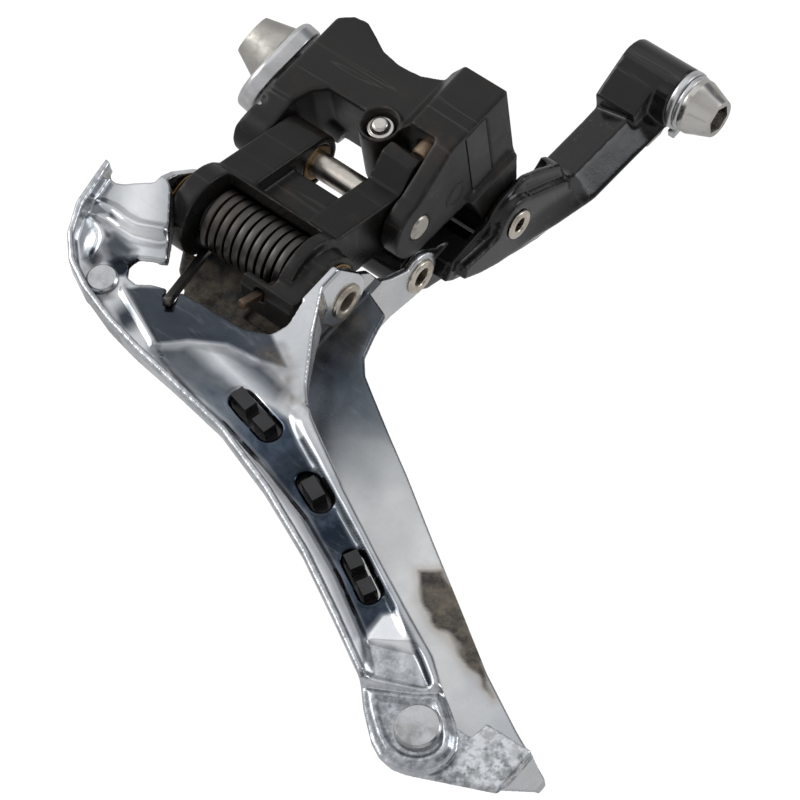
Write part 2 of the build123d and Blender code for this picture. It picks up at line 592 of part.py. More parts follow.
# ------------------------------------------------------------ inner cage plate
INNER_LINE = [(-34.0, -23.4), (-33.5, -26.2), (-32.6, -31.0), (-30.2, -35.5), (-27.1, -38.6),
              (-22.6, -40.8), (-16.8, -42.6), (-10.7, -43.8), (-4.5, -44.7), (6.5, -46.4),
              (16.6, -49.6), (26.5, -53.7), (35.5, -58.3), (43.2, -62.4)]
with BuildPart() as inner_cage_plate:
    with BuildSketch(side(INNER_Y)):
        with BuildLine():
            Polyline(*INNER_LINE, (45.6, -64.8), (47.6, -66.4), (49.4, -67.8), (51.4, -68.7), (53.5, -68.9), (55.4, -68.4),
                     (57.1, -67.3), (58.2, -65.8), (58.7, -64.1), (58.5, -62.3), (57.5, -60.8), (56.0, -59.5), (54.0, -58.2),
                     (51.9, -57.0), (48.4, -54.4), (41.4, -51.2), (33.4, -47.4), (23.7, -42.5), (16.8, -39.3),
                     (13.4, -37.6), (11.0, -36.1), (9.2, -34.5), (8.0, -33.0), (6.8, -31.2), (5.5, -29.3), (4.2, -27.4),
                     (CAGE_REAR_1 + PLATE_T, -21.4), (CAGE_REAR_1 + PLATE_T, -17.4), (CAGE_REAR_1, -17.4),
                     (CAGE_REAR_1, -22.4), (2.0, -28.0), (1.2, -30.6), (-2.1, -32.0),
                     (-12.3, -32.6), (-14.8, -33.4), (-16.7, -34.0), (-18.4, -35.2), (-20.2, -35.0), (-21.2, -33.6), (-21.0, -31.9),
                     (-19.6, -31.0), (-18.5, -30.5), (-17.7, -29.8), (-25.2, -20.6), (-26.3, -20.0), (-27.5, -21.4),
                     (-29.4, -22.9), (-30.4, -23.9), (-31.6, -24.5), (-32.6, -24.5), close=True)
        make_face()
    extrude(amount=-PLATE_T)
    # front ear, bent outboard at the front of the link
    with BuildSketch(across(FRONT_EAR_X - PLATE_T)):
        with Locations(LINK_CAGE):
            Circle(4.1)
        with BuildLine():
            Polyline((INNER_Y, -21.6), (INNER_Y, -20.2), (-11.8, -18.2), (-8.2, -14.6), (-3.0, -20.8), (-6.6, -21.6), (-10.6, -22.2), close=True)
        make_face()
    extrude(amount=PLATE_T)
    # its web, bent along the sloping rear edge of the nose and dying out downwards
    with BuildSketch(side(INNER_Y)):
        with BuildLine():
            Polyline((FRONT_EAR_X - PLATE_T, -21.4), (-26.4, -20.0), (-25.2, -20.6), (-17.7, -29.8), (-18.6, -30.6), (-26.4, -21.4), close=True)
        make_face()
    extrude(amount=-5.4)
    with BuildSketch(across(-28.0)):
        with BuildLine():
            Polyline((INNER_Y + PLATE_T, -31.0), (-7.0, -21.6), (-5.0, -21.6), (-5.0, -31.0), close=True)
        make_face()
    extrude(amount=11.0, mode=Mode.SUBTRACT)
    with BuildSketch(across(FRONT_EAR_X)):
        with Locations(LINK_CAGE):
            Circle(5.1)
    extrude(amount=1.0, mode=Mode.SUBTRACT)
    with BuildSketch(across(FRONT_EAR_X + 0.95)):
        with Locations(LINK_CAGE):
            Circle(6.58)
    extrude(amount=10.0, mode=Mode.SUBTRACT)
    # rear ear: bent outboard at the top rear corner
    with BuildSketch(across(CAGE_REAR_1)):
        with Locations(LINK_CAGE):
            Circle(4.1)
        with BuildLine():
            Polyline((INNER_Y, -24.0), (INNER_Y, -17.6), (-7.4, -13.9), (-1.5, -19.2), (-7.0, -24.0), close=True)
        make_face()
    extrude(amount=PLATE_T)
    # its web follows the sloping edge of the plate and dies out
    with BuildSketch(side(INNER_Y)):
        with BuildLine():
            Polyline((CAGE_REAR_1, -21.4), (CAGE_REAR_1 + PLATE_T, -21.0), (5.4, -26.9), (6.7, -28.8), (8.0, -30.7), (9.2, -32.5),
                     (10.3, -34.0), (11.9, -35.6), (14.0, -37.1), (17.2, -38.9), (23.7, -42.4), (23.4, -42.9), (16.8, -39.7),
                     (13.4, -37.9), (11.0, -36.3), (9.2, -34.7), (6.8, -31.4), (4.2, -27.6), close=True)
        make_face()
    extrude(amount=-5.4)
    with BuildSketch(across(26)):
        with BuildLine():
            Polyline((-5.2, -22.0), (-7.0, -24.0), (-9.4, -31.0), (-10.6, -36.0), (-10.9, -43.5), (-5.2, -43.5), close=True)
        make_face()
    extrude(amount=-22.6, mode=Mode.SUBTRACT)
    # stiffening lip along the upper edge of the tail
    with BuildSketch(side(INNER_Y)):
        with BuildLine():
            Polyline((13.4, -37.8), (23.7, -42.5), (33.4, -47.4), (41.4, -51.2), (48.4, -54.4),
                     (48.1, -55.2), (41.1, -52.2), (33.1, -48.5), (23.4, -43.5), (13.0, -38.7), close=True)
        make_face()
    extrude(amount=-2.2)
    # inboard rim along the nose and the lower edge
    with BuildSketch(side(INNER_Y)):
        with BuildLine():
            Polyline(*INNER_LINE, (43.6, -61.5), (35.8, -57.3), (26.8, -52.7), (16.9, -48.6), (6.7, -45.4),
                     (-4.4, -43.7), (-10.6, -42.8), (-16.6, -41.6), (-22.3, -39.9), (-26.5, -37.8),
                     (-29.4, -35.0), (-31.6, -30.7), (-32.5, -26.0), (-33.0, -23.5), close=True)
        make_face()
    extrude(amount=RIM_H)
    # notch for the spring's long leg
    with BuildSketch(LEG_PLANE):
        Rectangle(WIRE + 0.5, WIRE + 0.5)
    extrude(amount=LEG_L + 3, mode=Mode.SUBTRACT)
    # bores: pivot, nose rivet, tail rivet, three slots for the skid plate's hooks
    with BuildSketch(across(-32)):
        with Locations(LINK_CAGE):
            Circle(CAGE_PIN_R)
    extrude(amount=38, mode=Mode.SUBTRACT)
    with BuildSketch(side(INNER_Y - 1)):
        with Locations((-22.6, -37.3)):
            Circle(1.5)
        with Locations((52.9, -63.0)):
            Circle(1.8)
    extrude(amount=-4, mode=Mode.SUBTRACT)
    with BuildSketch(side(INNER_Y - 1)):
        with Locations(Location((7.6, -41.0), -13)):
            SlotOverall(9.0, 3.0)
        with Locations(Location((21.1, -45.2), -22)):
            SlotOverall(6.4, 2.6)
        with Locations(Location((33.8, -51.0), -27)):
            SlotOverall(8.0, 2.6)
    extrude(amount=-4, mode=Mode.SUBTRACT)
inner_cage_plate.part.label = "inner_cage_plate"
export_step(inner_cage_plate.part, "parts/inner_cage_plate.step")

# ------------------------------------------------------------ outer cage plate
TAB_Y = INNER_Y + PLATE_T      # rivet tabs lie on the inner plate's outboard face
NOSE_RIVET = (-22.6, -37.3)    # (X, Z)
TAIL_RIVET = (52.9, -63.0)
with BuildPart() as outer_cage_plate:
    with BuildSketch(side(OUTER_Y)):
        with BuildLine():
            Polyline((-26.8, -31.0), (-26.8, -35.0), (-14.0, -38.0), (0.0, -40.4), (10.0, -42.8),
                     (22.0, -47.6), (34.0, -53.6), (46.0, -60.0), (54.0, -61.0), (60.6, -59.4), (65.0, -56.4),
                     (65.0, -54.6), (58.1, -51.6), (50.0, -47.5), (40.7, -41.8), (32.1, -36.6),
                     (23.4, -31.2), (17.7, -27.9), (11.9, -24.4), (9.0, -22.6), (7.0, -20.4), (5.9, -17.0),
                     (5.0, -13.6), (CAGE_REAR_0, -11.6), (CAGE_REAR_0, -25.4), (-10.2, -25.4), (-10.2, -19.6), (-21.6, -19.6),
                     (-21.6, -21.6), (-24.4, -21.9), (-22.6, -24.8), (-19.6, -27.0), (-19.0, -29.6), close=True)
        make_face()
    extrude(amount=-PLATE_T)
    # its upper edge beside the link's foot, set outboard to let the foot pass
    with BuildSketch(side(OUTER_Y + 1.15)):
        with BuildLine():
            Polyline((-11.4, -22.4), (CAGE_REAR_0, -22.4), (CAGE_REAR_0, -27.0), (-11.4, -27.0), close=True)
        make_face()
    extrude(amount=-0.8)
    with BuildSketch(side(OUTER_Y + 0.4)):
        with BuildLine():
            Polyline((-11.4, -25.7), (CAGE_REAR_0, -25.7), (CAGE_REAR_0, -27.0), (-11.4, -27.0), close=True)
        make_face()
    extrude(amount=-1.2)
    # rear flange with the ear of the outer arm
    with BuildSketch(across(CAGE_REAR_0)):
        with Locations(ARM_CAGE):
            Circle(3.7)
        with Locations(LINK_CAGE):
            Circle(4.0)
        with BuildLine():
            Polyline((-9.0, -16.4), (-5.6, -13.6), (-2.8, -11.0), (1.3, -9.3), (3.2, -7.2), (5.3, -3.8),
                     (12.1, -3.6), (10.8, -9.0), (11.0, -13.0), (10.6, -16.0), (1.2, -24.6), (-2.2, -22.0), (-6.4, -21.2), close=True)
        make_face()
    extrude(amount=PLATE_T)
    # front ear for the outer arm
    with BuildSketch(across(-14.2)):
        with Locations(ARM_CAGE):
            Circle(3.6)
        with BuildLine():
            Polyline((5.2, -3.6), (11.9, -3.8), (9.6, -15.0), (1.2, -26.2), (0.0, -26.2), (2.4, -20.0), (4.6, -12.0), close=True)
        make_face()
    extrude(amount=PLATE_T)
    # tail tab under the inner plate's end, and the tail wall
    with BuildSketch(side(TAB_Y)):
        with BuildLine():
            Polyline((48.8, -65.6), (52.0, -67.8), (55.2, -67.9), (65.2, -63.3), (65.4, -62.8), (65.4, -56.6), (58.7, -56.9),
                     (58.3, -59.6), (50.2, -59.6), close=True)
        make_face()
    extrude(amount=-PLATE_T)
    with BuildSketch(across(64.2)):
        with BuildLine():
            Polyline((TAB_Y, -63.0), (TAB_Y, -56.6), (OUTER_Y + PLATE_T, -54.8), (OUTER_Y + PLATE_T, -56.4), (OUTER_Y, -56.6), close=True)
        make_face()
    extrude(amount=1.2)
    # nose wall and nose tab
    with BuildSketch(side(TAB_Y)):
        with BuildLine():
            Polyline((-26.8, -35.0), (-25.0, -39.0), (-21.0, -40.2), (-19.0, -38.0), (-20.4, -35.6), (-25.6, -34.8), (-25.6, -32.0), (-26.8, -31.4), close=True)
        make_face()
    extrude(amount=-PLATE_T)
    with BuildSketch(side(TAB_Y)):
        with BuildLine():
            Polyline((-26.8, -35.0), (-25.6, -35.2), (-25.6, -31.4), (-26.8, -31.2), close=True)
        make_face()
    extrude(amount=-(OUTER_Y + PLATE_T - TAB_Y))
    # bores
    with BuildSketch(across(-18)):
        with Locations(ARM_CAGE):
            Circle(2.0)
        with Locations(LINK_CAGE):
            Circle(CAGE_PIN_R)
    extrude(amount=30, mode=Mode.SUBTRACT)
    with BuildSketch(side(INNER_Y - 1)):
        with Locations(NOSE_RIVET):
            Circle(1.5)
        with Locations(TAIL_RIVET):
            Circle(1.8)
    extrude(amount=-5, mode=Mode.SUBTRACT)
outer_cage_plate.part.label = "outer_cage_plate"
export_step(outer_cage_plate.part, "parts/outer_cage_plate.step")


def cage_rivet(x, z, r, head_r, head_h):
    """Solid rivet through the inner plate and a tab of the outer plate."""
    with BuildPart() as rivet:
        with BuildSketch(side(INNER_Y)):
            with Locations((x, z)):
                Circle(r)
        extrude(amount=-2 * PLATE_T)
        with BuildSketch(side(INNER_Y)):
            with Locations((x, z)):
                Circle(head_r)
        extrude(amount=head_h)
        with BuildSketch(side(INNER_Y + 2 * PLATE_T)):
            with Locations((x, z)):
                Circle(head_r * 0.9)
        extrude(amount=-0.6)
        chamfer(rivet.faces().sort_by(Axis.Y)[0].edges(), length=0.3)
    return rivet


tail = cage_rivet(52.9, -63.0, 1.8, 3.0, 1.0)
tail.part.label = "tail_rivet"
export_step(tail.part, "parts/tail_rivet.step")
nose = cage_rivet(-22.6, -37.3, 1.5, 2.2, 0.6)
nose.part.label = "nose_rivet"
export_step(nose.part, "parts/nose_rivet.step")

# ------------------------------------------------------------------ skid plate
with BuildPart() as skid_plate:
    with BuildSketch(side(TAB_Y)):
        with BuildLine():
            Polyline((1.6, -39.2), (2.4, -43.6), (12.0, -45.6), (22.0, -49.6), (38.4, -57.4), (41.4, -54.4),
                     (33.4, -49.6), (23.7, -44.8), (12.4, -39.8), close=True)
        make_face()
    extrude(amount=-1.2)
    # snap hooks through the three slots
    for x, z, a, w in ((5.2, -40.4, -13, 3.2), (9.6, -41.5, -13, 2.6), (21.1, -45.2, -22, 3.2), (31.9, -50.0, -27, 2.4), (35.6, -51.9, -27, 2.2)):
        with BuildSketch(side(TAB_Y + 0.3)):
            with Locations(Location((x, z), a)):
                Rectangle(w, 1.9)
        extrude(amount=PLATE_T + 0.3 + 0.9)
skid_plate.part.label = "skid_plate"
export_step(skid_plate.part, "parts/skid_plate.step")
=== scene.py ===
import math

import bmesh
import bpy
import numpy as np
from mathutils import Matrix, Vector


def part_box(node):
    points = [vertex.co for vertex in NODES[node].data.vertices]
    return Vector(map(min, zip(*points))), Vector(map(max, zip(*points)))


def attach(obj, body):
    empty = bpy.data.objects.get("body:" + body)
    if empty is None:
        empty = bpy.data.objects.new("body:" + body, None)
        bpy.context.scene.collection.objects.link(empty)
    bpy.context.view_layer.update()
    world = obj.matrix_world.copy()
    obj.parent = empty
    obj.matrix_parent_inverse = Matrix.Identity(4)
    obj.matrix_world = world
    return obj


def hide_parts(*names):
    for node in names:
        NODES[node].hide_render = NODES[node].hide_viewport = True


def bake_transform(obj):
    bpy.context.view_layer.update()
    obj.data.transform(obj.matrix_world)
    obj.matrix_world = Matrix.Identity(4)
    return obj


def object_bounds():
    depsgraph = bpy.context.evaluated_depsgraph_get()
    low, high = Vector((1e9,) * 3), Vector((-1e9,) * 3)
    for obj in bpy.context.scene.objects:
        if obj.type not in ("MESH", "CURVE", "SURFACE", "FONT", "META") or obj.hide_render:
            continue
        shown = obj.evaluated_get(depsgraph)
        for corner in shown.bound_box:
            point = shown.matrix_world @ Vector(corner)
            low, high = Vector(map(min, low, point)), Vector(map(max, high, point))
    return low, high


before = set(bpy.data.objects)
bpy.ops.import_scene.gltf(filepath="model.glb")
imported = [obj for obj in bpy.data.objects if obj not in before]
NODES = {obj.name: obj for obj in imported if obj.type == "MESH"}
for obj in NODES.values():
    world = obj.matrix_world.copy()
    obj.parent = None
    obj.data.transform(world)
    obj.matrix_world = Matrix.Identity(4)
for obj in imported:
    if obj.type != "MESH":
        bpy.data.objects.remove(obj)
CAD_LO, CAD_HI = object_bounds()

# main pivot at the rear face of the bracket's rear ear, from the row's origin
PIVOT = np.array([32.0, -0.85, -10.6])


def pv(x, y, z):
    """Millimetres from the main pivot to metres in the row frame."""
    return Vector(((x + PIVOT[0]) / 1000, (y + PIVOT[1]) / 1000, (z + PIVOT[2]) / 1000))


# ================================================================ materials
def node(nt, kind, **inputs):
    n = nt.nodes.new(kind)
    for k, v in inputs.items():
        key = int(k[1:]) if k.startswith("i") and k[1:].isdigit() else k.replace("_", " ")
        n.inputs[key].default_value = v
    return n


class Mat:
    """A Principled material with small helpers for procedural detail."""

    def __init__(self, name):
        self.m = bpy.data.materials.new(name)
        self.m.use_nodes = True
        self.nt = self.m.node_tree
        self.bsdf = self.nt.nodes["Principled BSDF"]
        self.co = self.nt.nodes.new("ShaderNodeTexCoord").outputs["Object"]

    def set(self, **kw):
        for k, v in kw.items():
            self.bsdf.inputs[k.replace("_", " ")].default_value = v

    def link(self, a, b):
        self.nt.links.new(a, b)
        return b

    def noise(self, scale, detail=4.0, rough=0.6, stretch=None, distort=0.0, off=(0, 0, 0)):
        n = node(self.nt, "ShaderNodeTexNoise", Scale=scale, Detail=detail, Roughness=rough, Distortion=distort)
        mp = self.nt.nodes.new("ShaderNodeMapping")
        mp.inputs["Location"].default_value = off
        if stretch:
            mp.inputs["Scale"].default_value = stretch
        self.link(self.co, mp.inputs["Vector"])
        self.link(mp.outputs["Vector"], n.inputs["Vector"])
        return n.outputs["Fac"]

    def voronoi(self, scale, feature="F1"):
        n = self.nt.nodes.new("ShaderNodeTexVoronoi")
        n.feature = feature
        n.inputs["Scale"].default_value = scale
        self.link(self.co, n.inputs["Vector"])
        return n.outputs["Distance"]

    def ramp(self, fac, stops):
        r = self.nt.nodes.new("ShaderNodeValToRGB")
        el = r.color_ramp.elements
        while len(el) < len(stops):
            el.new(0.5)
        for e, (p, c) in zip(el, stops):
            e.position = p
            e.color = (c, c, c, 1) if isinstance(c, (int, float)) else (*c, 1)
        self.link(fac, r.inputs["Fac"])
        return r.outputs["Color"]

    def mix(self, fac, a, b, mode="MIX"):
        m = self.nt.nodes.new("ShaderNodeMix")
        m.data_type = "RGBA"
        m.blend_type = mode
        for val, key in ((fac, 0), (a, 6), (b, 7)):
            if isinstance(val, bpy.types.NodeSocket):
                self.link(val, m.inputs[key])
            elif key == 0:
                m.inputs[0].default_value = val
            else:
                m.inputs[key].default_value = (*val, 1) if len(val) == 3 else val
        return m.outputs[2]

    def math(self, op, a, b=None):
        m = self.nt.nodes.new("ShaderNodeMath")
        m.operation = op
        for val, i in ((a, 0), (b, 1)):
            if val is None:
                continue
            if isinstance(val, bpy.types.NodeSocket):
                self.link(val, m.inputs[i])
            else:
                m.inputs[i].default_value = val
        return m.outputs[0]

    def attr(self, name):
        a = self.nt.nodes.new("ShaderNodeAttribute")
        a.attribute_name = name
        return a.outputs["Fac"]

    def pointiness(self, lo, hi):
        g = self.nt.nodes.new("ShaderNodeNewGeometry")
        return self.ramp(g.outputs["Pointiness"], [(lo, 0.0), (hi, 1.0)])

    def bump(self, height, strength, distance):
        b = self.nt.nodes.new("ShaderNodeBump")
        b.inputs["Strength"].default_value = strength
        b.inputs["Distance"].default_value = distance
        self.link(height, b.inputs["Height"])
        self.link(b.outputs["Normal"], self.bsdf.inputs["Normal"])

    def color(self, sock):
        self.link(sock, self.bsdf.inputs["Base Color"])

    def rough(self, sock):
        self.link(sock, self.bsdf.inputs["Roughness"])

    def metal(self, sock):
        self.link(sock, self.bsdf.inputs["Metallic"])


def paint(name, base, rough, wear=0.5, dust=0.4, coat=0.0, brown=0.3):
    """Black paint over aluminium: mottled sheen, rubbed edges, dust specks, fine scratches."""
    k = Mat(name)
    k.set(Coat_Weight=coat, Coat_Roughness=0.14, IOR=1.5, Specular_IOR_Level=0.27)
    mott = k.noise(420, 5, 0.6)
    big = k.noise(70, 3, 0.5)
    c = k.mix(k.ramp(big, [(0.35, 0.0), (0.75, 1.0)]), base, tuple(v * 1.7 + 0.004 for v in base))
    c = k.mix(k.math("MULTIPLY", k.ramp(k.noise(120, 5, 0.65, off=(3, 1, 2)), [(0.56, 0.0), (0.72, 1.0)]), brown), c, (0.05, 0.032, 0.02))
    dustm = k.math("MULTIPLY", k.ramp(k.voronoi(900), [(0.0, 1.0), (0.10, 0.0)]), k.ramp(k.noise(160, 3, 0.5, off=(7, 7, 1)), [(0.52, 0.0), (0.68, 1.0)]))
    c = k.mix(k.math("MULTIPLY", dustm, dust), c, (0.35, 0.33, 0.3))
    edge = k.math("MULTIPLY", k.pointiness(0.515, 0.56), k.ramp(k.noise(300, 5, 0.7, off=(1, 5, 9)), [(0.48, 0.0), (0.66, 1.0)]))
    edge = k.math("MULTIPLY", edge, wear)
    c = k.mix(edge, c, (0.16, 0.13, 0.11))
    scratch = k.ramp(k.noise(240, 2, 0.4, stretch=(0.12, 1.0, 2.6), distort=0.6), [(0.63, 0.0), (0.66, 1.0), (0.69, 0.0)])
    c = k.mix(k.math("MULTIPLY", scratch, 0.10), c, (0.25, 0.24, 0.22))
    k.color(c)
    r = k.math("ADD", k.math("MULTIPLY", k.ramp(mott, [(0.3, 0.0), (0.75, 1.0)]), 0.12), rough - 0.05)
    r = k.math("ADD", r, k.math("MULTIPLY", edge, 0.12))
    k.rough(r)
    k.metal(k.math("MULTIPLY", edge, 0.6))
    k.bump(k.math("ADD", k.noise(1500, 3, 0.6), k.math("MULTIPLY", k.noise(260, 3, 0.5), 1.2)), 0.25, 0.00006)
    return k.m


def plating(name, rough=0.13, base=(0.90, 0.91, 0.92), speck=0.5, cloudy=0.22):
    """Bright nickel-chrome plating, cloudy, with pin-prick specks; masks paint reflections, highlights and shade into
    its colour, and darken it where it is dull or dirty.
    """
    k = Mat(name)
    k.set(Metallic=1.0)
    cloud = k.noise(95, 5, 0.62, off=(2, 0, 1))
    c = k.mix(k.ramp(cloud, [(0.35, 0.0), (0.7, 1.0)]), base, tuple(v * 0.84 for v in base))
    c = k.mix(k.math("MULTIPLY", k.ramp(k.noise(38, 3, 0.5), [(0.5, 0.0), (0.7, 1.0)]), 0.3), c, (0.62, 0.68, 0.78))
    # painted reflections, highlights and shade: a per-vertex tone map, with random variation, multiplies the colour
    # from near-black to white
    tone = k.math("ADD", k.attr("tone"), k.math("MULTIPLY", k.math("SUBTRACT", k.noise(150, 6, 0.7, off=(3, 3, 0), distort=0.5), 0.5), cloudy))
    c = k.mix(1.0, c, k.ramp(tone, [(0.0, (0.010, 0.013, 0.018)), (0.25, (0.07, 0.08, 0.095)), (0.5, (0.27, 0.285, 0.30)), (0.75, (0.60, 0.61, 0.62)), (1.0, (1.0, 1.0, 1.0))]), "MULTIPLY")
    fine = k.ramp(k.noise(520, 4, 0.7, stretch=(0.25, 1.0, 1.6), off=(1, 8, 2)), [(0.55, 0.0), (0.75, 1.0)])
    c = k.mix(k.math("MULTIPLY", fine, 0.22), c, (0.42, 0.44, 0.47))
    specks = k.math("MULTIPLY", k.ramp(k.voronoi(1400), [(0.0, 1.0), (0.13, 0.0)]), k.ramp(k.noise(210, 4, 0.6, off=(4, 4, 4)), [(0.50, 0.0), (0.62, 1.0)]))
    c = k.mix(k.math("MULTIPLY", specks, speck), c, (0.10, 0.10, 0.10))
    cold = k.attr("cold")          # painted dark blue-black reflection in the recessed channel
    c = k.mix(cold, c, k.mix(k.ramp(k.noise(130, 5, 0.65, distort=0.4), [(0.35, 0.0), (0.7, 1.0)]), (0.012, 0.020, 0.034), (0.14, 0.18, 0.24)))
    dull = k.attr("dull")          # smooth grey facet
    c = k.mix(dull, c, (0.10, 0.10, 0.105))
    grime = k.attr("grime")
    gn = k.ramp(k.noise(330, 6, 0.72, off=(6, 2, 8)), [(0.38, 0.0), (0.62, 1.0)])
    c = k.mix(grime, c, k.mix(gn, (0.030, 0.024, 0.018), (0.20, 0.165, 0.125)))
    halo = k.attr("halo")
    c = k.mix(halo, c, (0.34, 0.25, 0.15))
    mott = k.attr("mottle")
    mn = k.ramp(k.noise(900, 5, 0.7, off=(5, 5, 0)), [(0.42, 0.0), (0.60, 1.0)])
    c = k.mix(mott, c, k.mix(mn, (0.16, 0.17, 0.18), (0.72, 0.75, 0.78)))
    k.color(c)
    r = k.math("ADD", k.math("MULTIPLY", k.ramp(k.noise(240, 4, 0.6), [(0.3, 0.0), (0.8, 1.0)]), 0.12), rough)
    r = k.math("ADD", r, k.math("MULTIPLY", grime, 0.45))
    r = k.math("ADD", r, k.math("MULTIPLY", mott, 0.22))
    r = k.math("ADD", r, k.math("MULTIPLY", dull, 0.12))
    k.rough(r)
    k.metal(k.math("SUBTRACT", 1.0, k.math("MULTIPLY", grime, 0.75)))
    knurl = k.attr("knurl")
    kn = k.math("MULTIPLY", k.noise(2600, 2, 0.5, stretch=(1.0, 1.0, 0.35)), knurl)
    h = k.math("ADD", k.math("MULTIPLY", k.noise(150, 3, 0.5, off=(9, 1, 1)), 0.5), k.math("MULTIPLY", kn, 2.2))
    h = k.math("ADD", h, k.math("MULTIPLY", k.math("MULTIPLY", k.noise(2200, 3, 0.6), k.math("ADD", grime, mott)), 1.0))
    h = k.math("ADD", h, k.math("MULTIPLY", k.noise(900, 3, 0.6, stretch=(0.2, 1.0, 1.8), off=(2, 2, 9)), 0.35))
    k.bump(h, 0.32, 0.00006)
    return k.m


def steel(name, base, rough, dirt=(0.12, 0.08, 0.05), dirty=0.5, scale=260, ring=None):
    """Bare or lightly plated steel with brown dirt in patches and fine turning marks."""
    k = Mat(name)
    k.set(Metallic=1.0)
    c = k.mix(k.ramp(k.noise(scale, 5, 0.6), [(0.35, 0.0), (0.7, 1.0)]), base, tuple(v * 0.8 for v in base))
    d = k.math("MULTIPLY", k.ramp(k.noise(scale * 0.6, 6, 0.7, off=(1, 2, 3)), [(0.50, 0.0), (0.68, 1.0)]), dirty)
    c = k.mix(d, c, dirt)
    k.color(c)
    k.rough(k.math("ADD", k.math("ADD", k.math("MULTIPLY", d, 0.35), rough), k.math("MULTIPLY", k.noise(scale * 2, 3, 0.5), 0.08)))
    k.metal(k.math("SUBTRACT", 1.0, k.math("MULTIPLY", d, 0.6)))
    k.bump(k.noise(1800, 3, 0.5, stretch=(1, 0.2, 0.2)), 0.2, 0.00004)
    return k.m


def plastic(name, base, rough, sheen=0.0):
    k = Mat(name)
    k.set(IOR=1.48)
    c = k.mix(k.ramp(k.noise(300, 4, 0.6), [(0.4, 0.0), (0.75, 1.0)]), base, tuple(v * 1.8 + 0.004 for v in base))
    k.color(c)
    k.rough(k.math("ADD", k.math("MULTIPLY", k.noise(700, 3, 0.5), 0.16), rough - 0.05))
    k.bump(k.noise(1300, 2, 0.5), 0.15, 0.00005)
    return k.m


M_BRACKET = paint("satin_black_casting", (0.0085, 0.0075, 0.0068), 0.33, wear=0.55, dust=0.35, brown=0.35)
M_LINK = paint("satin_black_link", (0.0075, 0.0067, 0.006), 0.30, wear=0.6, dust=0.4, brown=0.45)
M_ARM = paint("gloss_black_arm", (0.0055, 0.005, 0.0048), 0.15, wear=0.35, dust=0.6, coat=0.35, brown=0.1)
M_CAGE = plating("cage_plating")
M_OUTER = plating("outer_plate_plating", rough=0.22, base=(0.88, 0.88, 0.87), speck=0.35, cloudy=0.10)
M_SPRING = steel("spring_wire_steel", (0.105, 0.100, 0.094), 0.33, dirt=(0.085, 0.048, 0.028), dirty=0.35, scale=180)
M_LEG = steel("spring_leg_rusty", (0.11, 0.085, 0.065), 0.42, dirt=(0.16, 0.07, 0.035), dirty=0.9, scale=300)
M_PIN = steel("pivot_pin_steel", (0.60, 0.56, 0.50), 0.25, dirt=(0.10, 0.07, 0.045), dirty=0.75)
M_RIVET = steel("rivet_nickel", (0.72, 0.66, 0.56), 0.2, dirt=(0.16, 0.11, 0.06), dirty=0.6)
M_BORE = steel("rivet_bore_dirt", (0.30, 0.22, 0.12), 0.4, dirt=(0.07, 0.045, 0.025), dirty=0.9)
M_DISC = steel("plated_rivet_head", (0.55, 0.56, 0.57), 0.2, dirt=(0.22, 0.22, 0.21), dirty=0.7, scale=420)
M_MOUNT = steel("mount_bolt_dull", (0.50, 0.48, 0.44), 0.34, dirt=(0.16, 0.13, 0.09), dirty=0.7, scale=300)
M_BOLT = steel("bolt_chrome", (0.62, 0.60, 0.56), 0.16, dirt=(0.20, 0.16, 0.11), dirty=0.6)
M_WASHER = steel("washer_steel", (0.66, 0.66, 0.66), 0.24, dirt=(0.25, 0.21, 0.17), dirty=0.45)
M_SCREW = steel("limit_screw_rusty", (0.36, 0.27, 0.19), 0.42, dirt=(0.20, 0.10, 0.04), dirty=0.8)
M_BUSH = steel("bush_bronze", (0.42, 0.28, 0.13), 0.38, dirt=(0.08, 0.05, 0.03), dirty=0.6)
M_SKID = plastic("skid_plastic_black", (0.010, 0.010, 0.0105), 0.2)
M_RESIN = plastic("resin_dark", (0.02, 0.02, 0.021), 0.42)


def wear_mat(o, m):
    o.data.materials.clear()
    o.data.materials.append(m)


# ================================================================ mesh helpers
def evaluated(o):
    dg = bpy.context.evaluated_depsgraph_get()
    return bpy.data.meshes.new_from_object(o.evaluated_get(dg), depsgraph=dg)


def coords(mesh):
    a = np.empty(len(mesh.vertices) * 3, np.float32)
    mesh.vertices.foreach_get("co", a)
    return a.reshape(-1, 3).astype(float)


def set_coords(mesh, a):
    mesh.vertices.foreach_set("co", a.astype(np.float32).ravel())
    mesh.update()


def new_object(name, mesh):
    o = bpy.data.objects.new(name, mesh)
    bpy.context.scene.collection.objects.link(o)
    return o


def bake_modifiers(o):
    mesh = evaluated(o)
    old = o.data
    o.modifiers.clear()
    o.data = mesh
    bpy.data.meshes.remove(old)
    return o


def remeshed(cad, name, voxel, smooth, shape=None, after=0, masks=None):
    """A softly rounded copy of a CAD node: remeshed, optionally reshaped by code, then smoothed."""
    o = new_object(name, NODES[cad].data.copy())
    r = o.modifiers.new("remesh", "REMESH")
    r.mode = "VOXEL"
    r.voxel_size = voxel / 1000
    if smooth:
        s = o.modifiers.new("soft", "SMOOTH")
        s.factor = 0.5
        s.iterations = smooth
    bake_modifiers(o)
    if shape:
        co = coords(o.data)
        mm = co * 1000 - PIVOT
        co2 = (shape(mm) + PIVOT) / 1000
        set_coords(o.data, co2)
        if after:
            s = o.modifiers.new("soft", "SMOOTH")
            s.factor = 0.5
            s.iterations = after
            bake_modifiers(o)
    lo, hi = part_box(cad)
    co = coords(o.data)
    co = np.clip(co, np.array(lo) if masks is None or "lo" not in masks else masks["lo"], np.array(hi))
    set_coords(o.data, co)
    o.data.polygons.foreach_set("use_smooth", [True] * len(o.data.polygons))
    return o


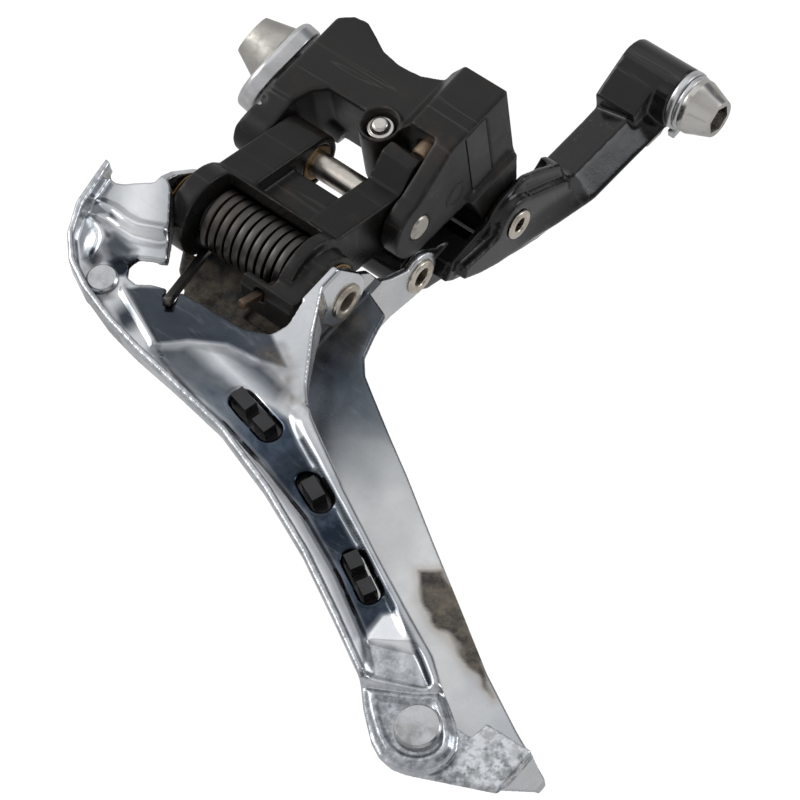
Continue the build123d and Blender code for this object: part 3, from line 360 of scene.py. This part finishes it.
def soften(o, region, iterations, factor=0.5):
    """Smooth only where region(mm) says so."""
    mm = coords(o.data) * 1000 - PIVOT
    w = np.clip(region(mm), 0, 1)
    vg = o.vertex_groups.new(name="soften")
    for i in np.nonzero(w > 0.01)[0]:
        vg.add([int(i)], float(w[i]), "REPLACE")
    sm = o.modifiers.new("soften", "SMOOTH")
    sm.factor = factor
    sm.iterations = iterations
    sm.vertex_group = "soften"
    bake_modifiers(o)
    o.vertex_groups.clear()
    o.data.polygons.foreach_set("use_smooth", [True] * len(o.data.polygons))


def add_masks(o, fns):
    mm = coords(o.data) * 1000 - PIVOT
    for name, fn in fns.items():
        a = o.data.attributes.new(name, "FLOAT", "POINT")
        a.data.foreach_set("value", np.clip(fn(mm), 0, 1).astype(np.float32))


def sstep(a, b, x):
    t = np.clip((x - a) / (b - a), 0, 1)
    return t * t * (3 - 2 * t)


def line_dist(p, q, pts):
    """Signed distance in a plane to an open polyline: positive on its left. Also the run along it, 0 to 1."""
    pts = np.array(pts, float)
    best = np.full(len(p), 1e9)
    sign = np.ones(len(p))
    run = np.zeros(len(p))
    total = np.linalg.norm(np.diff(pts, axis=0), axis=1)
    cum = np.concatenate([[0], np.cumsum(total)])
    for i in range(len(pts) - 1):
        a, b = pts[i], pts[i + 1]
        d = b - a
        L2 = d @ d
        t = np.clip(((p - a[0]) * d[0] + (q - a[1]) * d[1]) / L2, 0, 1)
        dx, dy = p - a[0] - t * d[0], q - a[1] - t * d[1]
        dist = np.hypot(dx, dy)
        cr = d[0] * (q - a[1]) - d[1] * (p - a[0])
        m = dist < best - 1e-9
        best = np.where(m, dist, best)
        sign = np.where(m, np.sign(cr), sign)
        run = np.where(m, (cum[i] + t * total[i]) / cum[-1], run)
    return best * sign, run


def in_poly(p, q, pts, soft=0.4):
    """1 inside a closed polygon, falling to 0 over soft outside it."""
    pts = np.array(pts, float)
    closed = np.vstack([pts, pts[:1]])
    d, _ = line_dist(p, q, closed)
    inside = np.zeros(len(p), bool)
    n = len(pts)
    for i in range(n):
        x1, y1 = pts[i]
        x2, y2 = pts[(i + 1) % n]
        cond = ((y1 > q) != (y2 > q)) & (p < (x2 - x1) * (q - y1) / (y2 - y1 + 1e-12) + x1)
        inside ^= cond
    d = np.abs(d)
    return np.where(inside, 0.5 + 0.5 * sstep(0, soft, d), 0.5 - 0.5 * sstep(0, soft, d))


def hashnoise(p, q, scale, seed=0):
    """Smooth value noise from a seeded lattice, for wavy mask edges."""
    rng = np.random.default_rng(seed)
    g = rng.random((64, 64))
    x, y = p / scale, q / scale
    xi, yi = np.floor(x).astype(int), np.floor(y).astype(int)
    fx, fy = x - xi, y - yi
    fx, fy = fx * fx * (3 - 2 * fx), fy * fy * (3 - 2 * fy)
    f = lambda i, j: g[i % 64, j % 64]
    return (f(xi, yi) * (1 - fx) + f(xi + 1, yi) * fx) * (1 - fy) + (f(xi, yi + 1) * (1 - fx) + f(xi + 1, yi + 1) * fx) * fy


# ================================================================ inner cage plate
INNER_Y = -13.0
RIM = [(-34.0, -23.4), (-33.5, -26.2), (-32.6, -31.0), (-30.2, -35.5), (-27.1, -38.6), (-22.6, -40.8), (-16.8, -42.6), (-10.7, -43.8),
       (-4.5, -44.7), (6.5, -46.4), (16.6, -49.6), (26.5, -53.7), (35.5, -58.3), (43.2, -62.4)]
BAND = [(-24.0, -36.8), (-13.7, -40.0), (-6.0, -42.6), (0.0, -43.9), (5.1, -44.6), (13.4, -46.3), (22.8, -48.9), (31.7, -52.8), (39.5, -57.2), (43.0, -60.0)]
LIP = [(12.0, -38.8), (14.8, -40.3), (22.6, -43.9), (32.4, -48.5), (40.0, -52.3), (47.2, -55.7), (51.0, -57.9)]
TAIL_CREASE = [(42.6, -62.2), (50.3, -58.9), (51.9, -57.0)]
TAIL_D = [(43.6, -62.6), (45.6, -64.6), (47.6, -66.2), (49.5, -67.5), (51.4, -68.4), (53.5, -68.6), (55.3, -68.1), (56.9, -67.0), (57.9, -65.6),
          (58.4, -64.0), (58.2, -62.4), (57.3, -61.0), (55.8, -59.7), (53.9, -58.4), (51.9, -57.2), (50.3, -58.9)]
PATCH = [(-18.8, -36.6), (-10.0, -40.6), (-7.0, -37.6), (-2.4, -35.1), (3.1, -34.4), (6.2, -33.2), (1.5, -30.6), (-2.1, -31.8), (-12.3, -32.4), (-14.8, -33.4), (-17.6, -35.2)]
SLOTS = [((7.6, -41.0), -13, 9.0, 3.0), ((21.1, -45.2), -22, 6.4, 2.6), ((33.8, -51.0), -27, 8.0, 2.6)]


def slot_dist(x, z, c, a, length, width):
    ca, sa = math.cos(math.radians(a)), math.sin(math.radians(a))
    u = (x - c[0]) * ca + (z - c[1]) * sa
    v = -(x - c[0]) * sa + (z - c[1]) * ca
    half = (length - width) / 2
    return np.hypot(np.maximum(np.abs(u) - half, 0), v) - width / 2


def inner_height(x, z):
    """How far the sheet stands inboard of its plane, mm."""
    h = np.zeros(len(x))
    # sloping band between the rim and the channel
    d, _ = line_dist(x, z, BAND)                       # + on the upper (channel) side
    run = sstep(-14, 2, x) * (1 - sstep(42.0, 44.5, x))
    h += (0.95 * (1 - sstep(-0.35, 0.35, d)) + 0.18 * np.clip(-d, 0, 4)) * run * (z < -34)
    # lip along the upper edge of the tail
    d2, _ = line_dist(x, z, LIP)
    h += 0.95 * sstep(-0.3, 0.4, d2) * sstep(10.5, 14.0, x) * (1 - sstep(50.5, 52.5, x)) * (z < -36)
    # crease and raised border of the tail pad
    pad = in_poly(x, z, TAIL_D, 0.5)
    dp, _ = line_dist(x, z, TAIL_D + TAIL_D[:1])
    h = h * (1 - pad) + pad * (0.2 + 0.6 * np.exp(-((np.abs(dp) - 1.1) / 0.45) ** 2) - 0.45 * (1 - sstep(0, 0.7, np.abs(dp))))
    dc, _ = line_dist(x, z, TAIL_CREASE)
    h += 0.65 * np.exp(-(dc / 0.55) ** 2) * (1 - pad * 0.4)
    # flat facet below the keyhole and the bowl around it
    h += 0.35 * in_poly(x, z, PATCH, 1.6)
    dk, _ = line_dist(x, z, [(-21.6, -35.2), (-18.8, -37.2), (-10.0, -40.8)])
    h += 0.5 * np.exp(-(dk / 0.5) ** 2) + 0.45 * sstep(-0.2, 2.4, -dk) * (x < -8) * (x > -22) * sstep(-43, -41, z)
    h -= 0.55 * np.exp(-(((x - 2) / 9) ** 2 + ((z + 38.4) / 2.2) ** 2))
    # flat facet ahead of the tail crease, tilted
    fc = in_poly(x, z, [(40.0, -57.6), (39.6, -53.6), (40.6, -52.2), (44.7, -54.4), (45.6, -55.2)], 0.35)
    h += fc * (0.15 + 0.16 * (x - 39.6))
    # nose: hump, thin ridges and the hollow round the rivet
    h += 0.9 * np.exp(-(((x + 26.5) / 4.2) ** 2 + ((z + 32.6) / 3.0) ** 2)) * (z < -25)
    d3, _ = line_dist(x, z, [(-31.0, -28.6), (-28.8, -28.2), (-26.6, -28.4), (-24.4, -28.2), (-21.4, -26.8)])
    h += 0.75 * np.exp(-(d3 / 0.75) ** 2) - 0.5 * np.exp(-((d3 + 1.6) / 1.0) ** 2)
    d4, _ = line_dist(x, z, [(-30.3, -31.0), (-27.9, -31.4), (-26.2, -32.9), (-25.4, -35.4)])
    h += 0.7 * np.exp(-(d4 / 0.6) ** 2)
    r = np.hypot(x + 22.6, z + 37.3)
    h = h * sstep(2.2, 4.2, r)
    # rolled edges of the slots
    for c, a, ln, w in SLOTS:
        s = slot_dist(x, z, c, a, ln, w)
        h += 0.16 * np.exp(-((s - 0.45) / 0.3) ** 2) - 0.22 * (1 - sstep(-0.1, 0.4, s))
    return h


def inner_shape(mm):
    x, y, z = mm[:, 0], mm[:, 1], mm[:, 2]
    h = inner_height(x, z)
    rim, _ = line_dist(x, z, RIM)
    slab = (1 - sstep(-11.6, -10.4, y)) * (z < -21.5)
    out = mm.copy()
    onrim = (y < INNER_Y - 0.35)
    out[:, 1] = np.where(onrim, y, y - h * slab)
    return out


inner = remeshed("inner_cage_plate", "inner_plate_form", 0.21, 3, inner_shape, after=3)
soften(inner, lambda mm: 1 - sstep(INNER_Y - 0.8, INNER_Y - 0.3, mm[:, 1]), 24)
soften(inner, lambda mm: sstep(4.0, 6.0, mm[:, 0]) * (1 - sstep(28.0, 31.0, mm[:, 0])) * sstep(-48.0, -45.0, mm[:, 2]), 14)
soften(inner, lambda mm: sstep(-12.2, -11.6, mm[:, 1]) * (mm[:, 0] > 6) * (mm[:, 0] < 24) * (mm[:, 2] < -29), 10)


def paint_regions(mm, start, regions, side_mask):
    """Painted reflection, highlight and shade tone laid down region by region: (polygon, value, softness, waviness)."""
    x, y, z = mm[:, 0], mm[:, 1], mm[:, 2]
    t = np.full(len(x), float(start))
    for i, (poly, val, soft, wav) in enumerate(regions):
        w = wav * (hashnoise(x, z, 1.9, 40 + i) - 0.5)
        m = in_poly(x + w, z - w, poly, soft)
        v = val(x, z) if callable(val) else val
        t = t * (1 - m) + v * m
    return np.where(side_mask, t, 0.97)


CHANNEL = [(2, -43.4), (13.4, -45.9), (22.8, -48.5), (31.7, -52.4), (39.4, -56.9), (39.3, -53.6), (40.4, -52.3), (32.4, -48.9), (22.6, -44.3), (14.6, -40.9), (11.8, -39.5), (9.0, -38.9), (4, -40.0), (-1, -41.6)]
INNER_PAINTED_REFLECTIONS = [
    # outer strip of the nose and its hollow: painted light bands, painted shade in the hollow and a painted black
    # triangle by the keyhole
    ([(-34, -23), (-25, -20), (-17.5, -29.5), (-21, -34), (-22, -40.6), (-27, -38.4), (-32.4, -31)], lambda x, z: 0.84 + 0.13 * np.sin(x * 0.55 + z * 0.35), 0.8, 1.2),
    ([(-29.5, -30.2), (-26.0, -30.2), (-21.4, -31.4), (-23.0, -33.6), (-26.6, -34.4)], 0.86, 1.0, 0.8),
    ([(-25.8, -31.2), (-22.2, -31.0), (-21.2, -33.8), (-23.4, -35.0), (-25.4, -33.6)], 0.30, 0.8, 0.6),
    ([(-23.6, -34.8), (-21.2, -31.8), (-20.6, -35.2), (-21.4, -36.0)], 0.05, 0.4, 0.3),
    ([(-27.2, -34.8), (-25.0, -34.8), (-24.6, -36.6), (-26.6, -36.6)], 0.24, 0.5, 0.4),
    ([(-25.4, -39.0), (-21.6, -39.2), (-14.6, -42.0), (-14.0, -43.2), (-22.6, -40.9)], 0.42, 0.5, 0.6),
    ([(-22.2, -36.4), (-18.8, -37.4), (-10.4, -41.0), (-14.0, -41.7), (-20.4, -39.6)], lambda x, z: 0.52 + 0.32 * np.sin(x * 0.9), 0.5, 0.8),
    # border band: painted bright reflection, then a darker painted reflection strip
    ([(-10, -44.2), (6.5, -46.6), (16.6, -49.8), (26.5, -53.9), (35.5, -58.4), (43.2, -62.4), (40.4, -57.6), (31.7, -52.7), (22.8, -48.8), (13.4, -46.2), (5.1, -44.6), (-6, -42.6)], 0.92, 0.4, 0.3),
    ([(6.0, -45.4), (13.4, -46.9), (22.8, -49.6), (31.4, -53.4), (39.4, -57.9), (39.2, -58.7), (31.0, -54.1), (22.4, -50.3), (13.0, -47.5), (6.0, -45.9)], 0.66, 0.35, 0.3),
    # bowl between the facet and the first slot: painted highlight along its edge, fading to painted shade
    ([(-10.4, -41.2), (-6.8, -38.0), (-2.2, -35.6), (3.4, -35.0), (8.4, -35.8), (9.2, -38.6), (4, -39.8), (-1, -41.4), (2, -43.2), (-6, -42.4)], lambda x, z: np.clip(0.86 - 0.16 * np.abs(z + 37.6 + 0.16 * x) * 1.3, 0.30, 0.92), 0.9, 0.9),
    ([(-9.6, -42.2), (-4.0, -40.2), (2.0, -39.6), (4.6, -40.4), (2.0, -43.0), (-4.0, -43.0)], 0.34, 1.0, 1.2),
    # channel of the slots: painted dark reflection, lighter towards its front end
    (CHANNEL, lambda x, z: 0.12 + 0.30 * (1 - sstep(4, 14, x)) + 0.10 * np.sin(x * 0.35), 0.6, 0.7),
    # lip beside it: painted light reflection and a painted dark line
    ([(9.8, -37.4), (13.0, -38.2), (23.7, -43.0), (33.4, -47.9), (41.4, -51.7), (48.6, -54.8), (51.4, -57.6), (48.4, -56.0), (40.0, -51.9), (32.4, -48.1), (22.6, -43.5), (14.4, -40.0)], 0.70, 0.3, 0.2),
    ([(14.6, -40.5), (22.6, -44.0), (32.4, -48.5), (40.0, -52.3), (47.2, -55.8), (50.2, -58.0), (50.6, -57.5), (47.4, -55.3), (40.2, -51.8), (32.7, -48.0), (22.9, -43.5), (15.0, -40.0)], 0.22, 0.3, 0.3),
    # facet, tail pad: painted reflection tones ahead of the crease and on the pad, a painted white highlight on the
    # tilted facet, a painted dark reflection on the flat patch below the keyhole
    ([(39.6, -57.6), (43.2, -62.0), (50.0, -58.8), (46.0, -55.6), (41.0, -56.2)], lambda x, z: 0.68 + 0.10 * np.sin(x * 1.7 + z), 0.4, 0.3),
    ([(40.0, -57.5), (39.6, -53.6), (40.6, -52.3), (44.7, -54.5), (45.7, -55.4)], 1.0, 0.2, 0.1),
    (PATCH, lambda x, z: 0.21 + 0.05 * sstep(-37, -33, z), 0.3, 0.0),
    (TAIL_D, 0.70, 0.5, 0.3),
]


# painted reflections, highlights and shade on the inner plate's inboard face; the knurled rim gets a painted mid grey
def m_tone(mm):
    t = paint_regions(mm, 0.82, INNER_PAINTED_REFLECTIONS, mm[:, 1] < -11.9)
    return np.where(mm[:, 1] < INNER_Y - 1.5, 0.74 + 0.08 * hashnoise(mm[:, 0], mm[:, 2], 1.5, 61), t)


# painted dark reflection: blue-black in the slot channel, patchy on the tail pad
def m_cold(mm):
    x, y, z = mm[:, 0], mm[:, 1], mm[:, 2]
    chan = in_poly(x, z, CHANNEL, 0.7)
    m = chan * np.clip(0.35 + 0.8 * hashnoise(x, z, 2.6, 3), 0, 1) * 0.8
    d = in_poly(x, z, [(46.4, -64.6), (51.0, -68.0), (55.0, -67.8), (57.4, -64.8), (55.6, -59.9), (52.0, -58.2), (45.8, -61.6)], 1.0)
    d *= (np.hypot(x - 52.9, z + 63.0) > 3.2) * 0.5 * hashnoise(x, z, 1.3, 9)
    return np.maximum(m, d) * (y < -12.0)


def m_grime(mm):
    x, y, z = mm[:, 0], mm[:, 1], mm[:, 2]
    a = in_poly(x, z, [(3.5, -31.2), (7.0, -33.0), (10.4, -35.4), (11.0, -38.0), (8.6, -36.6), (5.6, -34.8), (2.0, -33.6)], 1.4)
    a = a * (0.25 + 0.9 * hashnoise(x, z, 1.1, 5)) * 0.8
    b = in_poly(x, z, [(-19.0, -39.2), (-21.5, -39.5), (-25.2, -38.6), (-26.4, -36.0), (-25.0, -35.0)], 0.8) * 0.35 * hashnoise(x, z, 0.8, 6)
    rear = (1 - sstep(-11.5, -10.8, -y)) * 0.0
    hidden = sstep(-12.2, -11.6, y) * (z < -24) * 0.45 * hashnoise(x, z, 3.0, 8)   # chain side, greasy
    return np.maximum.reduce([a, b, rear, hidden])


def m_knurl(mm):
    return (mm[:, 1] < INNER_Y - 1.6) * 1.0


def m_mottle(mm):
    x, y, z = mm[:, 0], mm[:, 1], mm[:, 2]
    k = (y < INNER_Y - 1.9) * 0.35
    d = in_poly(x, z, TAIL_D, 0.6) * (np.hypot(x - 52.9, z + 63.0) > 3.2) * 0.45
    d = np.maximum(d, in_poly(x, z, [(40.0, -57.8), (43.2, -62.0), (50.0, -58.8), (46.2, -55.8)], 0.5) * 0.35)
    return np.maximum(k, d * (y < -12))


ZERO = lambda mm: np.zeros(len(mm))
add_masks(inner, {"tone": m_tone, "cold": m_cold, "dull": ZERO, "grime": m_grime, "knurl": m_knurl, "mottle": m_mottle, "halo": ZERO})
wear_mat(inner, M_CAGE)
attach(inner, "cage")
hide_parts("inner_cage_plate")

# ================================================================ outer cage plate
outer = remeshed("outer_cage_plate", "outer_plate_form", 0.24, 4)


def o_stain(mm, grow=0.0):
    x, y, z = mm[:, 0], mm[:, 1], mm[:, 2]
    w = 1.1 * (hashnoise(x, z, 1.7, 12) - 0.5)
    a = in_poly(x + w, z + w, [(33.5, -41.6), (36.0, -39.6), (39.6, -40.6), (42.4, -42.0), (47.0, -45.2), (53.0, -49.6), (50.2, -48.6), (44.4, -46.6), (39.6, -46.2), (36.4, -43.8)], 0.35 + grow)
    return a


def o_grime(mm):
    x, y, z = mm[:, 0], mm[:, 1], mm[:, 2]
    a = o_stain(mm) * 0.95 * (y > -1) * (1 - sstep(0.5, 0.9, y))
    wv = 1.6 * (hashnoise(x, z, 1.4, 22) - 0.5)
    bridge = in_poly(x + wv, z + wv, [(-27, -17), (2.0, -17), (0.6, -24.5), (-1.6, -29.0), (-7.0, -32.6), (-16.0, -34.5), (-22.0, -33.0)], 2.6)
    bridge = bridge * (y > -0.8) * (y < 2.4) * (0.40 + 0.95 * hashnoise(x * 1.0, y + z, 1.2, 21))
    tabn = ((y < -9.5) & (x < -18)) * 0.5
    tail = in_poly(x, z, [(46.0, -56.4), (55.0, -56.5), (60.0, -58.5), (54, -61)], 1.0) * 0.5 * (y > -2) * hashnoise(x, z, 1.0, 4)
    return np.maximum.reduce([a, np.clip(bridge, 0, 0.95), tabn * hashnoise(x, z, 1.2, 2), tail])


def o_halo(mm):
    a = np.clip(o_stain(mm, 1.4) * 1.2, 0, 1) * (1 - o_stain(mm)) * (mm[:, 1] > -1) * (1 - sstep(0.5, 0.9, mm[:, 1])) * 0.6
    return a


# painted reflection on the outer plate's face: dark towards the top of the blade, lighter down it, darker in patches
# towards the tail
def o_tone(mm):
    x, y, z = mm[:, 0], mm[:, 1], mm[:, 2]
    run = (x - 8) * 0.86 - (z + 24) * 0.5              # distance down the blade
    t = 0.28 + 0.56 * sstep(-2, 24, run)
    t = t + 0.10 * (hashnoise(x + z, x * 0.25 - z, 5.0, 51) - 0.5)
    t = t - 0.10 * sstep(38, 60, run) * hashnoise(x, z, 3.5, 52)
    face = (y > -1) & (y < 1.4)
    return np.where(face, t, 0.90)


# painted dark reflection near the top of the outer plate's face
def o_cold(mm):
    x, y, z = mm[:, 0], mm[:, 1], mm[:, 2]
    top = in_poly(x, z, [(8.0, -20.0), (11.0, -23.4), (18.4, -27.6), (14.4, -29.0), (10.8, -32.0), (8.4, -33.0), (6.0, -30.0), (5.0, -24.0)], 2.0) * (y > -1) * (y < 1.0)
    return np.clip(top, 0, 1) * 0.35


def o_mottle(mm):
    x, y, z = mm[:, 0], mm[:, 1], mm[:, 2]
    tab = ((y < -9.8) & (x > 44)) * 0.9
    return tab * (0.35 + 0.8 * hashnoise(x, z, 1.0, 31))


add_masks(outer, {"tone": o_tone, "cold": o_cold, "dull": ZERO, "grime": o_grime, "knurl": ZERO, "mottle": o_mottle, "halo": o_halo})
wear_mat(outer, M_OUTER)
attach(outer, "cage")
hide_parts("outer_cage_plate")

# ================================================================ castings
def bracket_shape(mm):
    """A faint mould ring on the rear face."""
    out = mm.copy()
    r = np.hypot(mm[:, 1] - MOULD[0], mm[:, 2] - MOULD[1])
    out[:, 0] -= 0.16 * np.exp(-((r - 1.75) / 0.2) ** 2) * (mm[:, 0] > -0.5)
    return out


MOULD = (1.1, 7.7)
bracket = remeshed("bracket_body", "bracket_casting", 0.22, 14, bracket_shape, after=1)
wear_mat(bracket, M_BRACKET)
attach(bracket, "bracket")
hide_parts("bracket_body")

link = remeshed("spring_link", "link_casting", 0.2, 16)
wear_mat(link, M_LINK)
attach(link, "link")
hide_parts("spring_link")

arm = remeshed("outer_arm", "arm_forging", 0.2, 14)
soften(arm, lambda mm: sstep(9, 14, mm[:, 2]) * (1 - sstep(38, 44, mm[:, 2])), 40)
wear_mat(arm, M_ARM)
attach(arm, "arm")
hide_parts("outer_arm")

# ================================================================ spring
P4 = (-5.2, -17.4)
SPRING_R, WIRE, SX0, SX1 = 3.85, 1.25, -21.4, -5.9


def sweep(name, path, section, closed_ends=True):
    """Square-section wire along a path of (point, outward direction, tangent) in mm from the pivot."""
    bm = bmesh.new()
    rings = []
    for p, out, tan in path:
        p, out, tan = Vector(p), Vector(out).normalized(), Vector(tan).normalized()
        side = tan.cross(out).normalized()
        out = side.cross(tan).normalized()
        ring = [bm.verts.new(pv(*(p + out * a + side * b))) for a, b in section]
        rings.append(ring)
    n = len(section)
    for a, b in zip(rings, rings[1:]):
        for i in range(n):
            bm.faces.new((a[i], a[(i + 1) % n], b[(i + 1) % n], b[i]))
    if closed_ends:
        bm.faces.new(rings[0][::-1])
        bm.faces.new(rings[-1])
    bmesh.ops.recalc_face_normals(bm, faces=bm.faces)
    me = bpy.data.meshes.new(name)
    bm.to_mesh(me)
    bm.free()
    me.polygons.foreach_set("use_smooth", [True] * len(me.polygons))
    return new_object(name, me)


def wire_section(w, r=0.16, k=3):
    """Square with rounded corners."""
    pts = []
    h = w / 2 - r
    for cx, cy, a0 in ((h, h, 0), (-h, h, 90), (-h, -h, 180), (h, -h, 270)):
        for i in range(k + 1):
            a = math.radians(a0 + 90 * i / k)
            pts.append((cx + r * math.cos(a), cy + r * math.sin(a)))
    return pts


TURNS = 10.0
coil = []
# long leg: from its end over the inner plate up to the coil's front end, which starts on the outboard side
leg_x = SX0 + WIRE / 2
LEG_S = Vector((leg_x, P4[0] + SPRING_R, P4[1] - 2.8))
LEG_D = Vector((8.2, -12.85, -15.0)).normalized()
for i in range(26):
    p = LEG_S + LEG_D * (21.9 * (1 - i / 25))
    if i < 24:
        coil.append((tuple(p), (0.25, 0.9, -0.5), tuple(-LEG_D)))
for i in range(6):
    t = (i + 0.5) / 6                                # the bend below the coil
    p = LEG_S + LEG_D * 1.3 * (1 - t) ** 2 + Vector((0, 0, 2.3)) * t ** 2
    tan = (-LEG_D) * (1 - t) + Vector((0, 0, 1)) * t
    coil.append((tuple(p), (0.12 * (1 - t), 1, -0.4 * (1 - t)), tuple(tan)))
N = 720
for i in range(1, N + 1):
    f = i / N
    a = f * (TURNS * 2 * math.pi + math.radians(0))
    x = leg_x + (SX1 - SX0 - WIRE) * f
    y, z = P4[0] + SPRING_R * math.cos(a), P4[1] + SPRING_R * math.sin(a)
    tan = ((SX1 - SX0 - WIRE) / (TURNS * 2 * math.pi * SPRING_R), -math.sin(a), math.cos(a))
    coil.append(((x, y, z), (0, math.cos(a), math.sin(a)), tan))
spring = sweep("torsion_spring", coil, [(a, b * 0.9) for a, b in wire_section(1.2, 0.17, 3)])
wear_mat(spring, M_SPRING)
SHORT = []
for i in range(8):
    t = i / 7
    c = Vector((SX1 - WIRE / 2, P4[0] - 2.9, P4[1] - 7.2))
    d = Vector((0, math.sin(math.radians(-28)) * -1, math.cos(math.radians(-28))))
    d = Vector((0, -math.sin(math.radians(-28)), math.cos(math.radians(-28))))
    p = c + d * (4.1 - 8.2 * t)
    SHORT.append((tuple(p), (0, d.z, -d.y), tuple(-d)))
short = sweep("spring_short_leg", SHORT, wire_section(1.2, 0.2, 3))
wear_mat(short, M_LEG)
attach(short, "link")
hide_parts("return_spring")
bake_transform(spring)

# ================================================================ small hardware: CAD nodes with softened edges
for n, m, w in (("main_pivot_pin", M_PIN, 0.15), ("cage_pivot_pin", M_RIVET, 0.12), ("arm_cage_pin", M_RIVET, 0.12), ("arm_pivot_pin", M_RIVET, 0.12),
                ("radius_washer", M_WASHER, 0.35), ("mount_bolt", M_MOUNT, 0.3), ("support_bolt", M_BOLT, 0.2), ("low_limit_screw", M_SCREW, 0.15),
                ("high_limit_screw", M_SCREW, 0.15), ("link_bushes", M_BUSH, 0.1), ("spring_sleeve", M_RESIN, 0.1), ("cable_clamp_plate", M_WASHER, 0.2),
                ("cable_bolt_washer", M_WASHER, 0.25), ("cable_bolt", M_BOLT, 0.3), ("cable_converter", M_PIN, 0.2), ("tail_rivet", M_DISC, 0.3),
                ("nose_rivet", M_DISC, 0.25), ("skid_plate", M_SKID, 0.2), ("cage_thrust_washers", M_BUSH, 0.08), ("screw_lock_insert", M_RESIN, 0.2)):
    o = NODES[n]
    wear_mat(o, m)
    wd = o.modifiers.new("weld", "WELD")
    wd.merge_threshold = 1e-6
    bv = o.modifiers.new("edges", "BEVEL")
    bv.width = w / 1000
    bv.segments = 3
    bv.limit_method = "ANGLE"
    bv.angle_limit = math.radians(35)
    bv.harden_normals = False
    o.data.polygons.foreach_set("use_smooth", [True] * len(o.data.polygons))
    wn = o.modifiers.new("wn", "WEIGHTED_NORMAL")
    wn.keep_sharp = False
    wn.weight = 80

# ================================================================ stage, light, camera
OBJ_C = Vector(((CAD_LO[i] + CAD_HI[i]) / 2 for i in range(3)))
CR = Vector((0.765, 0.093, 0.632)).normalized()
CU0 = Vector((-0.506, -0.516, 0.688))
CU = (CU0 - CR * CU0.dot(CR)).normalized()
CW = CR.cross(CU)


def flat(name, size, loc, rot, mat):
    me = bpy.data.meshes.new(name)
    s = size / 2
    me.from_pydata([(-s, -s, 0), (s, -s, 0), (s, s, 0), (-s, s, 0)], [], [(0, 1, 2, 3)])
    o = new_object(name, me)
    o.location = loc
    o.rotation_euler = rot
    o.data.materials.append(mat)
    return o


pale = Mat("pale_floor")
pale.set(Roughness=0.85)
pale.color(pale.mix(pale.noise(3, 3, 0.5), (0.86, 0.86, 0.86), (0.9, 0.9, 0.9)))
floor = flat("floor", 8.0, (0, 0, -0.30), (0, 0, 0), pale.m)

world = bpy.context.scene.world or bpy.data.worlds.new("world")
bpy.context.scene.world = world
world.use_nodes = True
wnt = world.node_tree
bg = wnt.nodes["Background"]
tc = wnt.nodes.new("ShaderNodeTexCoord")


def world_patch(direction, cos0, cos1):
    d = Vector(direction).normalized()
    dot = wnt.nodes.new("ShaderNodeVectorMath")
    dot.operation = "DOT_PRODUCT"
    dot.inputs[1].default_value = tuple(d)
    wnt.links.new(tc.outputs["Generated"], dot.inputs[0])
    mr = wnt.nodes.new("ShaderNodeMapRange")
    mr.interpolation_type = "SMOOTHSTEP"
    mr.inputs["From Min"].default_value = cos0
    mr.inputs["From Max"].default_value = cos1
    wnt.links.new(dot.outputs["Value"], mr.inputs["Value"])
    return mr.outputs["Result"]


def wmix(fac, a, b):
    m = wnt.nodes.new("ShaderNodeMix")
    m.data_type = "RGBA"
    wnt.links.new(fac, m.inputs[0])
    for v, i in ((a, 6), (b, 7)):
        if isinstance(v, bpy.types.NodeSocket):
            wnt.links.new(v, m.inputs[i])
        else:
            m.inputs[i].default_value = (*v, 1)
    return m.outputs[2]


# pale room; darker patches give the plating something to reflect
wcol = wmix(world_patch((0, 0, -1), -0.2, 0.95), (0.56, 0.56, 0.57), (0.44, 0.45, 0.47))
wcol = wmix(world_patch(CU * 0.5 - CR * 0.9 + CW * 0.1, 0.60, 0.93), wcol, (1.05, 1.05, 1.05))
wcol = wmix(world_patch(CR * 0.9 + CU * 0.45 + CW * 0.2, 0.80, 0.96), wcol, (0.95, 0.96, 1.0))
wcol = wmix(world_patch((-0.36, -0.86, 0.36), 0.80, 0.97), wcol, (0.92, 0.93, 0.95))
wcol = wmix(world_patch((0.9, -0.3, 0.3), 0.84, 0.95), wcol, (0.13, 0.14, 0.16))
wcol = wmix(world_patch((0.1, -0.25, 0.96), 0.92, 0.98), wcol, (0.18, 0.19, 0.21))
wcol = wmix(world_patch((-0.8, 0.1, -0.6), 0.82, 0.95), wcol, (0.20, 0.21, 0.23))
wcol = wmix(world_patch(-CW, 0.965, 0.985), wcol, (1.05, 1.05, 1.05))
wnt.links.new(wcol, bg.inputs["Color"])
bg.inputs["Strength"].default_value = 1.0


def area(name, loc_dir, dist, size, power, color=(1, 1, 1)):
    d = Vector(loc_dir).normalized()
    li = bpy.data.lights.new(name, "AREA")
    li.shape = "DISK"
    li.size = size
    li.energy = power
    li.color = color
    o = bpy.data.objects.new(name, li)
    bpy.context.scene.collection.objects.link(o)
    o.location = OBJ_C + d * dist
    o.rotation_mode = "QUATERNION"
    o.rotation_quaternion = d.to_track_quat("Z", "Y")
    return o


area("key", CU * 0.55 - CR * 0.85 + CW * 0.30, 0.7, 0.5, 1.9)
area("side", CR * 0.9 + CU * 0.40 + CW * 0.35, 0.8, 0.4, 1.1, (0.95, 0.97, 1.0))
area("low", -CU * 0.8 + CW * 0.6 - CR * 0.3, 0.9, 0.5, 0.5, (1.0, 0.98, 0.96))

cam_data = bpy.data.cameras.new("camera")
cam_data.sensor_width = 36
cam_data.lens = 36 * 3504 / 800
cam_data.clip_start, cam_data.clip_end = 0.01, 30
cam = bpy.data.objects.new("camera", cam_data)
bpy.context.scene.collection.objects.link(cam)
D, S = 480.0, 7.3
T = -(CR * ((420 - 400) / S) + CU * ((400 - 228) / S))
C = T + CW * D
cam.location = (C + Vector(PIVOT)) / 1000
rot = Matrix((CR, CU, CW)).transposed()
cam.rotation_mode = "QUATERNION"
cam.rotation_quaternion = rot.to_quaternion()
bpy.context.scene.camera = cam
bpy.context.scene.view_settings.view_transform = "Standard"
